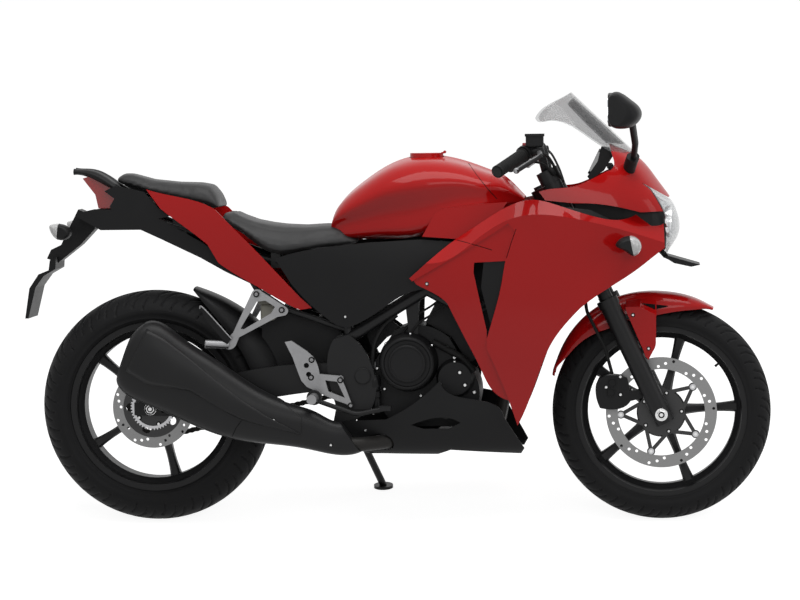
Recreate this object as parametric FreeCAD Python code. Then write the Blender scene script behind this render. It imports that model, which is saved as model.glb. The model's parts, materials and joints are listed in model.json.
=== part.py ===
"""A fully faired sport motorcycle of the 250 cc class, parked on its side stand.

Every piece is drawn upright first: X runs forward from the rear axle, Y to the rider's left,
Z up from the ground. The finished pieces are then leaned to the left by the stand angle, set
down on the tyres and the stand foot, and moved so that the origin is on the ground in the
middle of the footprint. Lengths are in millimetres, angles in degrees.
"""
import FreeCAD, Part
import math
import os
from functools import lru_cache
from FreeCAD import Vector

# Wheels, steering and stance
FRONT_X = 1370.0
WHEELBASE = 1370.0
RAKE = 25.0
TRAIL = 95.0
LEAN = 10.0
FRONT_TYRE_RADIUS = 293.0
FRONT_TYRE_WIDTH = 110.0
REAR_TYRE_RADIUS = 314.0
REAR_TYRE_WIDTH = 140.0
CROWN_EXTRA = 2.0
RIM_RADIUS = 230.0
BEAD_SEAT_RADIUS = 218.0
RIM_WELL_RADIUS = 203.0
RIM_INNER_RADIUS = 197.0
FLANGE = 5.0
FRONT_RIM_WIDTH = 88.0
REAR_RIM_WIDTH = 112.0
SPOKE_COUNT = 5
FRONT_SPOKE_TURN = 3.0
REAR_SPOKE_TURN = 68.0
SEAT_GAP = 0.3
SHAFT_GAP = 0.1
RUNNING_GAP = 5.0
PAD_GAP = 1.5

# Axles and hubs
AXLE_RADIUS = 8.5
AXLE_BORE_RADIUS = 5.0
FRONT_HUB_RADIUS = 32.0
FRONT_HUB_HALF = 52.0
REAR_HUB_RADIUS = 46.0
REAR_HUB_HALF = 62.0
COLLAR_RADIUS = 14.0

# Brakes and final drive
FRONT_DISC_RADIUS = 148.0
FRONT_DISC_BAND = 32.0
FRONT_DISC_Y = -62.0
REAR_DISC_RADIUS = 110.0
REAR_DISC_BAND = 28.0
REAR_DISC_Y = -78.0
DISC_THICKNESS = 4.5
DISC_HOLE_RADIUS = 4.0
CHAIN_Y = 86.0
CHAIN_PITCH = 15.875
REAR_TEETH = 38
DRIVE_TEETH = 14
DRIVE_SPROCKET_X = 645.0
DRIVE_SPROCKET_Z = 406.0
CHAIN_WIDTH = 16.0
LINK_PLATE = 2.5
LINK_HALF_HEIGHT = 7.2
LINK_WAIST = 5.4
ROLLER_RADIUS = 5.0
SPROCKET_WIDTH = 6.0
SPROCKET_GAP = 1.2

# Fork and steering
FORK_HALF_SPACING = 100.0
SLIDER_RADIUS = 26.0
SLIDER_LENGTH = 330.0
FORK_TUBE_RADIUS = 18.5
FENDER_LUGS_AT = (173.0, 272.0)
FENDER_LUG_AHEAD = 42.0
FENDER_PLATE_Y = 105.0
FENDER_SHOULDER_Y = 50.0
FORK_TUBE_TOP = 712.0
LOWER_CLAMP_AT = 496.0
UPPER_CLAMP_AT = 664.0
CLAMP_THICKNESS = 30.0
CLAMP_WALL = 9.0
STEM_RADIUS = 15.0
STEM_BORE_RADIUS = 9.0
HEAD_TUBE_RADIUS = 27.0
BAR_RADIUS = 11.1
GRIP_RADIUS = 16.5

# Swingarm and frame
PIVOT_X = 577.0
PIVOT_Z = 401.0
PIVOT_BOLT_RADIUS = 12.0
SHOCK_TOP_X = 515.0
SHOCK_TOP_Z = 640.0
SHOCK_PIN_RADIUS = 10.0
ARM_INNER_Y = 100.0
ARM_THICKNESS = 22.0
FRAME_TUBE_RADIUS = 17.0
BACKBONE_RADIUS = 16.0
FRAME_HALF_WIDTH = 112.0
PLATE_INNER_Y = 124.0
PLATE_THICKNESS = 14.0
RAIL_RADIUS = 12.0
RAIL_Y = 84.0

# Body widths (half) and walls
FAIRING_HALF = 238.0
NOSE_HALF = 172.0
TANK_HALF = 160.0
SIDE_COVER_HALF = 160.0
SEAT_HALF = 138.0
PILLION_HALF = 101.0
TAIL_HALF = 136.0
BELLY_HALF = 168.0
LAMP_HALF = 116.0
FAIRING_TUCK = 0.32
LAYER_TUCK = 0.06
PANEL_WALL = 3.0
SCREEN_WALL = 3.0
TRAY_HALF = 82.0

# Exhaust, with the muffler on the right
MUFFLER_Y = -180.0
MUFFLER_HALF = 53.0
MUFFLER_COVER = 3.5
LINK_PIPE_RADIUS = 19.0
PIPE_CLEARANCE = 4.0

# Foot pegs
PEG_X = 450.0
PEG_Z = 348.0
PEG_RADIUS = 13.0

# Side stand, drawn upright: its pivot on the left, where the foot stands, and how far it swings
STAND_PIVOT_X = 512.0
STAND_PIVOT_Y = 158.0
STAND_PIVOT_Z = 262.0
STAND_FOOT_X = 590.0
STAND_FOOT_Y = 282.0
STAND_FOOT_RADIUS = 27.0
STAND_FOOT_THICKNESS = 8.0
STAND_LEG_RADIUS = 10.0

STAND_SWING = 95.0
STAND_BOLT_RADIUS = 6.0

# Filler cap
CAP_RADIUS = 46.0
CAP_X = 745.0
CAP_LOW = 969.0
CAP_TOP = 992.0
CAP_SWING = 80.0

# Threaded bosses for a paddock stand, on the swingarm
SPOOL_AHEAD = 34.0
SPOOL_RADIUS = 4.0
SPOOL_DEPTH = 16.0
SPOOL_BOSS = 6.0

# Middle of the footprint, measured from the rear axle's ground point
MIDDLE_X = 656.0
MIDDLE_Y = 174.0

# Worked out from the sizes above
REAR_X = FRONT_X - WHEELBASE
REAR_Z = REAR_TYRE_RADIUS
SPOOL_Z = REAR_Z - 6.0
FRONT_Z = FRONT_TYRE_RADIUS
RAKE_SIN = math.sin(math.radians(RAKE))
RAKE_COS = math.cos(math.radians(RAKE))
LEAN_SIN = math.sin(math.radians(LEAN))
LEAN_COS = math.cos(math.radians(LEAN))
FORK_OFFSET = FRONT_TYRE_RADIUS * RAKE_SIN - TRAIL * RAKE_COS
TYRE_DROP = (REAR_TYRE_WIDTH / 2 + CROWN_EXTRA) * (1 - LEAN_COS)
ARM_OUTER_Y = ARM_INNER_Y + ARM_THICKNESS
PLATE_OUTER_Y = PLATE_INNER_Y + PLATE_THICKNESS
REACH = 3000.0


# Drawing helpers

def vec(x, y, z):
    return Vector(float(x), float(y), float(z))


def edge(points):
    """A line through two points, or one smooth curve through more."""
    if len(points) == 2:
        return Part.LineSegment(points[0], points[1]).toShape()
    curve = Part.BSplineCurve()
    curve.interpolate(points)
    return curve.toShape()


def outline(start, *runs):
    """Splits a closed outline into runs: a pair is a straight line to it, a list a smooth curve on."""
    pieces = []
    here = start
    for run in runs:
        points = [here] + (run if isinstance(run, list) else [run])
        pieces.append(points)
        here = points[-1]
    if math.dist(here, start) > 0.001:
        pieces.append([here, start])
    return pieces


def polygon(points):
    return outline(points[0], *points[1:])


def face_of(pieces, to_space):
    wire = Part.Wire([edge([to_space(a, b) for a, b in piece]) for piece in pieces])
    return Part.Face(wire)


def side_prism(pieces, y0, y1):
    """Extrudes an outline of (x, z) across the bike."""
    return face_of(pieces, lambda x, z: vec(x, y0, z)).extrude(vec(0, y1 - y0, 0))


def rod(a, b, radius):
    return Part.makeCylinder(radius, (b - a).Length, a, b - a)


def cone(a, b, radius_a, radius_b):
    return Part.makeCone(radius_a, radius_b, (b - a).Length, a, b - a)


def cross_rod(x, z, y0, y1, radius):
    """A round bar that lies across the bike."""
    return rod(vec(x, y0, z), vec(x, y1, z), radius)


def block(x0, x1, y0, y1, z0, z1):
    return Part.makeBox(x1 - x0, abs(y1 - y0), z1 - z0, vec(x0, min(y0, y1), z0))


def largest(shape):
    return max(shape.Solids, key=lambda piece: piece.Volume)


def fuse(first, *others):
    return first.multiFuse(list(others)).removeSplitter()


def mirrored(shape):
    return shape.mirror(vec(0, 0, 0), vec(0, 1, 0))


def pair(shape):
    """A piece of the left side with its twin on the right."""
    return Part.makeCompound([shape, mirrored(shape)])


def bent_tube(points, radius, bend):
    """A round bar through the points, with tangent arcs of the bend radius at the corners."""
    edges = []
    here = points[0]
    for i in range(1, len(points) - 1):
        before = (points[i - 1] - points[i]).normalize()
        after = (points[i + 1] - points[i]).normalize()
        half = before.getAngle(after) / 2
        reach = bend / math.tan(half)
        start = points[i] + before * reach
        end = points[i] + after * reach
        inward = (before + after).normalize()
        middle = points[i] + inward * (bend / math.sin(half) - bend)
        edges.append(Part.LineSegment(here, start).toShape())
        edges.append(Part.Arc(start, middle, end).toShape())
        here = end
    edges.append(Part.LineSegment(here, points[-1]).toShape())
    profile = Part.Wire(Part.makeCircle(radius, points[0], points[1] - points[0]))
    return Part.Wire(edges).makePipeShell([profile], True, False)


def ring_loft(sections):
    """A solid through closed smooth sections, each a list of points."""
    wires = []
    for points in sections:
        curve = Part.BSplineCurve()
        curve.interpolate(Points=points, PeriodicFlag=True)
        wires.append(Part.Wire(curve.toShape()))
    return Part.makeLoft(wires, True, False)


def inward(points, wall):
    """The points of a section that runs upwards, moved towards the middle of the bike."""
    moved = []
    for i, (y, z) in enumerate(points):
        a = points[max(i - 1, 0)]
        b = points[min(i + 1, len(points) - 1)]
        length = math.dist(a, b)
        moved.append((y - wall * (b[1] - a[1]) / length, z + wall * (b[0] - a[0]) / length))
    return moved


def thin_section(x, points, crease, wall):
    """A closed thin wire at station x, with a sharp line at the point numbered crease."""
    outside = [vec(x, y, z) for y, z in points]
    inside = [vec(x, y, z) for y, z in inward(points, wall)]
    cuts = [(0, crease), (crease, len(points) - 1)] if crease else [(0, len(points) - 1)]
    edges = [edge(outside[a:b + 1]) for a, b in cuts]
    edges.append(edge([outside[-1], inside[-1]]))
    edges += [edge(inside[a:b + 1][::-1]) for a, b in cuts[::-1]]
    edges.append(edge([inside[0], outside[0]]))
    return Part.Wire(edges)


def panel(stations, crease, wall, pieces):
    """A thin curved panel of the left side, trimmed to its outline in side view."""
    sheet = Part.makeLoft([thin_section(x, pts, crease, wall) for x, pts in stations], True, False)
    return sheet.common(side_prism(pieces, 0, REACH))


def filled(stations, crease):
    """The solid from the middle of the bike out to a panel's outer face."""
    wires = []
    for x, points in stations:
        corners = [vec(x, y, z) for y, z in points]
        low, high = vec(x, 0, points[0][1]), vec(x, 0, points[-1][1])
        skin = [edge(corners[:crease + 1]), edge(corners[crease:])] if crease else [edge(corners)]
        wires.append(Part.Wire(skin + [edge([corners[-1], high]), edge([high, low]), edge([low, corners[0]])]))
    return Part.makeLoft(wires, True, False)


def boss(x, z, y0, radius, stations, crease=0):
    """A round boss from y0 out into the wall of a panel."""
    return cross_rod(x, z, y0, REACH / 2, radius).common(filled(stations, crease))


def flank(half, tuck, z_low, z_crease, z_top, y_top):
    """Section points of a side panel: it tucks in below its crease and rolls over above it."""
    points = []
    for i in range(5):
        t = 1 - i / 4
        points.append((half * (1 - tuck * t ** 1.7), z_crease - (z_crease - z_low) * t))
    points.append((y_top, z_top))
    return points


def oval(top, bottom, y, half):
    """A rounded section in the plane through two points of the side view."""
    points = []
    for i in range(12):
        a = 2 * math.pi * i / 12
        c = math.copysign(abs(math.cos(a)) ** 0.75, math.cos(a))
        s = math.copysign(abs(math.sin(a)) ** 0.75, math.sin(a))
        x = (top[0] + bottom[0]) / 2 + (top[0] - bottom[0]) / 2 * s
        z = (top[1] + bottom[1]) / 2 + (top[1] - bottom[1]) / 2 * s
        points.append(vec(x, y + half * c, z))
    return points


def crowned(x, half, top, low, shoulder=0.72, waist=0.9):
    """A section across the bike that is rounded above and flatter below."""
    mid = low + (top - low) * 0.42
    side = [(0.5 * half, top - (top - low) * 0.07), (shoulder * half * 1.12, top - (top - low) * 0.24),
            (half, mid), (waist * half, low + (top - low) * 0.1), (0.5 * half, low)]
    right = [vec(x, -y, z) for y, z in side]
    left = [vec(x, y, z) for y, z in side[::-1]]
    return [vec(x, 0, top)] + right + [vec(x, 0, low)] + left


def turned(centre, points):
    """Spins a closed profile of (y, radius) about the axle line through centre."""
    here = [vec(centre.x, y, centre.z + r) for y, r in points]
    return Part.Face(Part.makePolygon(here + here[:1])).revolve(centre, vec(0, 1, 0), 360)


def around(centre, angle, radius, y=0.0):
    """A point beside the axle line, at an angle from straight ahead in side view."""
    a = math.radians(angle)
    return vec(centre.x + radius * math.cos(a), y, centre.z + radius * math.sin(a))


def fork_at(up, y=0.0, ahead=0.0):
    """A point beside the right-hand view of the fork: up the legs from the axle, and ahead."""
    return vec(FRONT_X - RAKE_SIN * up + RAKE_COS * ahead, y,
               FRONT_Z + RAKE_COS * up + RAKE_SIN * ahead)


def ground_z(y):
    """Height of the floor beside the upright bike, once the bike is leaned."""
    return (y * LEAN_SIN - TYRE_DROP) / LEAN_COS


FRONT_AXLE = vec(FRONT_X, 0, FRONT_Z)
REAR_AXLE = vec(REAR_X, 0, REAR_Z)
GROUND_NORMAL = vec(0, -LEAN_SIN, LEAN_COS)


# Wheels

def tyre(centre, radius, width, rim_width):
    """A round-crowned tyre whose beads sit inside the rim's flanges."""
    crown = width / 2 + CROWN_EXTRA
    side = width / 2 - 1
    shoulder = radius - crown + math.sqrt(crown ** 2 - side ** 2)
    bead = rim_width / 2 - FLANGE - SEAT_GAP
    at = lambda y, r: vec(centre.x, y, centre.z + r)
    wall = [at(side, shoulder), at(side - 2, shoulder - 11), at(rim_width / 2 + 3, RIM_RADIUS + 6),
            at(rim_width / 2 - 1, RIM_RADIUS + 1.5)]
    left = [vec(p.x, -p.y, p.z) for p in wall]
    base = BEAD_SEAT_RADIUS + SEAT_GAP
    edges = [Part.Arc(at(-side, shoulder), at(0, radius), at(side, shoulder)).toShape(), edge(wall)]
    edges.append(edge([wall[-1], at(bead, RIM_RADIUS + 1)]))
    edges.append(edge([at(bead, RIM_RADIUS + 1), at(bead, base)]))
    edges.append(edge([at(bead, base), at(-bead, base)]))
    edges.append(edge([at(-bead, base), at(-bead, RIM_RADIUS + 1)]))
    edges.append(edge([at(-bead, RIM_RADIUS + 1), left[-1]]))
    edges.append(edge(left[::-1]))
    return Part.Face(Part.Wire(edges)).revolve(centre, vec(0, 1, 0), 360)


def rim_barrel(centre, width):
    w = width / 2
    half = [(w, RIM_RADIUS - 15), (w, RIM_RADIUS), (w - FLANGE, RIM_RADIUS),
            (w - FLANGE, BEAD_SEAT_RADIUS), (w - 20, BEAD_SEAT_RADIUS - 2), (w - 30, RIM_WELL_RADIUS)]
    inner = [(w - 28, RIM_INNER_RADIUS), (w - 16, RIM_INNER_RADIUS + 14)]
    other = [(-y, r) for y, r in half[::-1]]
    return turned(centre, half + other + [(-y, r) for y, r in inner[::-1]] + inner)


def spoke(centre, angle, hub_radius, rim_radius, hub_half):
    """One cast spoke, waisted half way out."""
    sections = []
    for r, tangential, across in ((hub_radius - 8, 21, hub_half * 0.62),
                                  (hub_radius + 45, 12.5, hub_half * 0.42),
                                  ((hub_radius + rim_radius) / 2 + 25, 10.5, 17),
                                  (rim_radius + 4, 15, 21)):
        a = math.radians(angle)
        middle = around(centre, angle, r)
        side = vec(-math.sin(a), 0, math.cos(a))
        corners = [(1, 0.55), (0.6, 1), (-0.6, 1), (-1, 0.55), (-1, -0.55), (-0.6, -1), (0.6, -1), (1, -0.55)]
        points = [middle + side * (tangential * s) + vec(0, across * t, 0) for s, t in corners]
        sections.append(Part.makePolygon(points + points[:1]))
    return Part.makeLoft(sections, True, False)


def wheel(centre, rim_width, hub_radius, hub_half, first_angle):
    pieces = [turned(centre, [(-hub_half, 12), (-hub_half, hub_radius - 6), (-hub_half + 6, hub_radius),
                              (hub_half - 6, hub_radius), (hub_half, hub_radius - 6), (hub_half, 12)])]
    for i in range(SPOKE_COUNT):
        pieces.append(spoke(centre, first_angle + 360 / SPOKE_COUNT * i, hub_radius, RIM_INNER_RADIUS,
                            hub_half))
    whole = fuse(rim_barrel(centre, rim_width), *pieces)
    bore = cross_rod(centre.x, centre.z, -hub_half - 1, hub_half + 1, AXLE_RADIUS + SHAFT_GAP)
    return whole.cut(bore)


def disc_band(centre, y, radius, band, rows, turn):
    """The drilled ring of a brake disc."""
    ring = turned(centre, [(y - DISC_THICKNESS / 2, radius - band), (y - DISC_THICKNESS / 2, radius),
                           (y + DISC_THICKNESS / 2, radius), (y + DISC_THICKNESS / 2, radius - band)])
    holes = []
    for i in range(rows):
        for k, share in enumerate((0.26, 0.52, 0.78)):
            at = around(centre, turn + 360 / rows * (i + 0.24 * k), radius - band * share)
            holes.append(cross_rod(at.x, at.z, y - DISC_THICKNESS, y + DISC_THICKNESS, DISC_HOLE_RADIUS))
    return ring.cut(Part.makeCompound(holes))


def front_disc():
    """A floating disc: a drilled band on five bobbins, carried by straight arms from the hub."""
    centre = FRONT_AXLE
    inner = FRONT_DISC_RADIUS - FRONT_DISC_BAND
    band = disc_band(centre, FRONT_DISC_Y, FRONT_DISC_RADIUS, FRONT_DISC_BAND, 10, 4)
    near = -FRONT_HUB_HALF
    hub = turned(centre, [(near, AXLE_RADIUS + 6), (FRONT_DISC_Y - 3, AXLE_RADIUS + 6),
                          (FRONT_DISC_Y - 3, 62), (FRONT_DISC_Y + 3, 66), (near, 40)])
    arms = []
    for i in range(5):
        a = FRONT_SPOKE_TURN + 36 + 72 * i
        tip = around(centre, a, inner - 8)
        for side in (-1, 1):
            root = around(centre, a + 30 * side, 58)
            arms.append(strut(root, tip, 5.0, FRONT_DISC_Y - 2.5, FRONT_DISC_Y + 2.5))
        arms.append(cross_rod(tip.x, tip.z, FRONT_DISC_Y - 3, FRONT_DISC_Y + 3, 11))
    return fuse(band, hub, *arms)


def strut(a, b, half, y0, y1):
    """A straight flat bar between two points of the side view."""
    along = vec(b.x - a.x, 0, b.z - a.z).normalize()
    off = vec(-along.z, 0, along.x) * half
    corners = [a + off, b + off, b - off, a - off]
    return side_prism(polygon([(p.x, p.z) for p in corners]), y0, y1)


def rear_disc():
    """A drilled disc on a dished carrier, with the toothed ring of the speed sensor inside it."""
    centre = REAR_AXLE
    band = disc_band(centre, REAR_DISC_Y, REAR_DISC_RADIUS, REAR_DISC_BAND, 9, 0)
    inner = REAR_DISC_RADIUS - REAR_DISC_BAND
    carrier = turned(centre, [(-REAR_HUB_HALF, AXLE_RADIUS + 6), (REAR_DISC_Y - 2, AXLE_RADIUS + 6),
                              (REAR_DISC_Y - 2, inner + 2), (REAR_DISC_Y + 2, inner + 2),
                              (REAR_DISC_Y + 3, 44), (-REAR_HUB_HALF, 40)])
    windows = []
    for i in range(5):
        at = around(centre, 36 + 72 * i, 62)
        windows.append(cross_rod(at.x, at.z, REAR_DISC_Y - 9, REAR_DISC_Y + 9, 12))
    return fuse(band, carrier).cut(Part.makeCompound(windows))


def pitch_radius(teeth):
    return CHAIN_PITCH / (2 * math.sin(math.pi / teeth))


def toothed(centre, teeth, y, turn, gap):
    """A sprocket whose teeth end a gap below the chain's rollers."""
    tip = pitch_radius(teeth) - ROLLER_RADIUS - gap
    root = tip - 6
    points = []
    for i in range(teeth):
        for share, r in ((0.0, root), (0.32, root), (0.44, tip), (0.56, tip), (0.68, root)):
            p = around(centre, turn + 360 / teeth * (i + share), r)
            points.append((p.x, p.z))
    return side_prism(polygon(points), y - SPROCKET_WIDTH / 2, y + SPROCKET_WIDTH / 2)


def rear_sprocket():
    """The driven sprocket with its cushioned carrier, on the wheel's left."""
    centre = REAR_AXLE
    ring = toothed(centre, REAR_TEETH, CHAIN_Y, 0, SPROCKET_GAP)
    windows = []
    for i in range(6):
        at = around(centre, 60 * i, 60)
        windows.append(cross_rod(at.x, at.z, CHAIN_Y - 9, CHAIN_Y + 9, 15))
    windows.append(cross_rod(centre.x, centre.z, CHAIN_Y - 9, CHAIN_Y + 9, AXLE_RADIUS + 6))
    ring = ring.cut(Part.makeCompound(windows))
    carrier = turned(centre, [(REAR_HUB_HALF, AXLE_RADIUS + 6), (CHAIN_Y + 4, AXLE_RADIUS + 6),
                              (CHAIN_Y + 4, 34), (CHAIN_Y + 2, 42), (CHAIN_Y - 3, 52), (REAR_HUB_HALF, 52)])
    return fuse(ring, carrier)


def chain_path(offset_pin, offset_mid):
    """Points of the chain loop, offset from its pitch line, higher at each pin than between pins."""
    big, small = pitch_radius(REAR_TEETH), pitch_radius(DRIVE_TEETH)
    front = vec(DRIVE_SPROCKET_X, 0, DRIVE_SPROCKET_Z)
    span = front - REAR_AXLE
    length = span.Length
    level = math.atan2(span.z, span.x)
    wrap = math.acos((big - small) / length)
    run = math.sqrt(length ** 2 - (big - small) ** 2)
    big_arc, small_arc = big * (2 * math.pi - 2 * wrap), small * 2 * wrap
    total = big_arc + small_arc + 2 * run
    links = round(total / CHAIN_PITCH)
    points = []
    for i in range(2 * links):
        s = total * i / (2 * links)
        off = offset_pin if i % 2 == 0 else offset_mid
        if s < big_arc:
            a = level + wrap + s / big
            p = REAR_AXLE + vec(math.cos(a), 0, math.sin(a)) * (big + off)
        elif s < big_arc + run:
            a = level - wrap
            start = REAR_AXLE + vec(math.cos(a), 0, math.sin(a)) * (big + off)
            p = start + vec(-math.sin(a), 0, math.cos(a)) * (s - big_arc)
        elif s < big_arc + run + small_arc:
            a = level - wrap + (s - big_arc - run) / small
            p = front + vec(math.cos(a), 0, math.sin(a)) * (small + off)
        else:
            a = level + wrap
            start = front + vec(math.cos(a), 0, math.sin(a)) * (small + off)
            p = start + vec(-math.sin(a), 0, math.cos(a)) * (s - big_arc - run - small_arc)
        points.append((p.x, p.z))
    return points


def chain_strip(out_pin, out_mid, in_pin, in_mid, y0, y1):
    loops = []
    for pin, mid in ((out_pin, out_mid), (in_pin, in_mid)):
        points = [vec(x, y0, z) for x, z in chain_path(pin, mid)]
        loops.append(Part.Face(Part.makePolygon(points + points[:1])))
    return loops[0].cut(loops[1]).extrude(vec(0, y1 - y0, 0))


def chain():
    """The drive chain as one loop: two rows of waisted link plates with the rollers between."""
    half = CHAIN_WIDTH / 2
    h, w, r = LINK_HALF_HEIGHT, LINK_WAIST, ROLLER_RADIUS
    plates = []
    for a, b in ((-half, -half + LINK_PLATE), (half - LINK_PLATE, half)):
        plates.append(chain_strip(h, w, -h, -w, CHAIN_Y + a, CHAIN_Y + b))
    rollers = chain_strip(r, r, -r, -r, CHAIN_Y - half + LINK_PLATE, CHAIN_Y + half - LINK_PLATE)
    return plates[0].multiFuse([plates[1], rollers])


# Swingarm, rear brake and shock

def swingarm():
    x, z = REAR_X, REAR_Z
    arm_line = outline((x - 44, z - 17), (x - 44, z + 17), [(x + 20, z + 30), (x + 130, z + 64),
                       (x + 250, z + 98), (x + 400, z + 118), (PIVOT_X, PIVOT_Z + 30)],
                       [(PIVOT_X + 28, PIVOT_Z + 6), (PIVOT_X + 18, PIVOT_Z - 24)], (x + 392, z + 38),
                       (x + 200, z + 10), (x + 60, z - 20))
    pieces = []
    for side in (-1, 1):
        pieces.append(side_prism(arm_line, side * ARM_INNER_Y, side * ARM_OUTER_Y))
        pieces.append(cross_rod(x, z, side * (RUN_Y[side]), side * ARM_INNER_Y, COLLAR_RADIUS))
        boss_end = side * (ARM_OUTER_Y + SPOOL_BOSS)
        pieces.append(cross_rod(x + SPOOL_AHEAD, SPOOL_Z, side * ARM_INNER_Y, boss_end, 11))
    pieces.append(cross_rod(PIVOT_X, PIVOT_Z, -ARM_INNER_Y, ARM_INNER_Y, 22))
    pieces.append(block(x + 405, x + 450, -ARM_INNER_Y, ARM_INNER_Y, z + 50, z + 100))
    body = fuse(*pieces)
    for side in (-1, 1):
        end = side * (ARM_OUTER_Y + SPOOL_BOSS)
        body = body.cut(cross_rod(x + SPOOL_AHEAD, SPOOL_Z, end - side * SPOOL_DEPTH, end + side, SPOOL_RADIUS))
    axle = cross_rod(x, z, -ARM_OUTER_Y - 9, ARM_OUTER_Y + 9, AXLE_RADIUS)
    nuts = [cross_rod(x, z, side * ARM_OUTER_Y, side * (ARM_OUTER_Y + 8), 15) for side in (-1, 1)]
    hollow = cross_rod(x, z, -ARM_OUTER_Y - 10, ARM_OUTER_Y + 10, AXLE_BORE_RADIUS)
    pivot = cross_rod(PIVOT_X, PIVOT_Z, -PLATE_OUTER_Y, PLATE_OUTER_Y, PIVOT_BOLT_RADIUS + SEAT_GAP)
    return fuse(body, axle, *nuts).cut(hollow).cut(pivot)


RUN_Y = {-1: -REAR_DISC_Y + 2 + SEAT_GAP, 1: CHAIN_Y + 4 + SEAT_GAP}


HUGGER_PLAN = [(71, 38, 341, 333), (65, 64, 342, 318), (56, 80, 347, 302), (46, 85, 355, 292), (36, 87, 364, 288),
               (26, 87, 372, 286), (15, 85, 372, 290)]


def hugger():
    """The mudguard over the rear tyre, on the swingarm."""
    guard = Part.makeLoft([guard_section(REAR_AXLE, *row) for row in HUGGER_PLAN], True, False)
    chain_room = block(REAR_X + 180, REAR_X + 420, CHAIN_Y - CHAIN_WIDTH / 2 - RUNNING_GAP, REACH, REAR_Z, REAR_Z + 134)
    guard = guard.cut(chain_room)
    arm = block(REAR_X + 330, REAR_X + 405 - SEAT_GAP, -38, 38, REAR_Z + 98, REAR_Z + 104)
    guard_inside = cross_rod(REAR_X, REAR_Z, -40, 40, REAR_TYRE_RADIUS + 54)
    return fuse(guard, arm.cut(guard_inside))


def shock():
    """The single spring and damper behind the engine."""
    low, high = vec(REAR_X + 428, 0, REAR_Z + 100 + 13 + SEAT_GAP), vec(SHOCK_TOP_X, 0, SHOCK_TOP_Z)
    axis = (high - low).normalize()
    body = [rod(low, high, 9), rod(low + axis * 18, low + axis * 26, 32), rod(high - axis * 60, high - axis * 52, 32),
            rod(high - axis * 60, high, 24)]
    turns = 7
    span = (high - low).Length - 86
    for i in range(turns):
        at = low + axis * (30 + span * (i + 0.5) / turns)
        body.append(rod(at - axis * 5, at + axis * 5, 31))
    core = rod(low + axis * 20, high - axis * 56, 22.5)
    eyes = [cross_rod(low.x, low.z, -14, 14, 13), cross_rod(high.x, high.z, -16, 16, 20)]
    pin = cross_rod(high.x, high.z, -40, 40, SHOCK_PIN_RADIUS + SEAT_GAP)
    return fuse(core, *eyes, *body).cut(pin)


def rear_brake():
    """The rear caliper on its arm, straddling the disc."""
    at = around(REAR_AXLE, 52, REAR_DISC_RADIUS - 14)
    inner = SEAT_GAP - ARM_INNER_Y
    body = block(at.x - 34, at.x + 34, inner, REAR_DISC_Y + 26, at.z - 22, at.z + 26)
    body = body.makeFillet(6, body.Edges)
    hanger = strut(at, vec(REAR_X + 86, 0, REAR_Z + 38), 13, inner, inner + 9)
    body = fuse(body, hanger)
    slot = cross_rod(REAR_AXLE.x, REAR_AXLE.z, REAR_DISC_Y - DISC_THICKNESS / 2 - PAD_GAP,
                     REAR_DISC_Y + DISC_THICKNESS / 2 + PAD_GAP, REAR_DISC_RADIUS + RUNNING_GAP)
    return body.cut(slot)


# Frame, engine and exhaust

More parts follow.
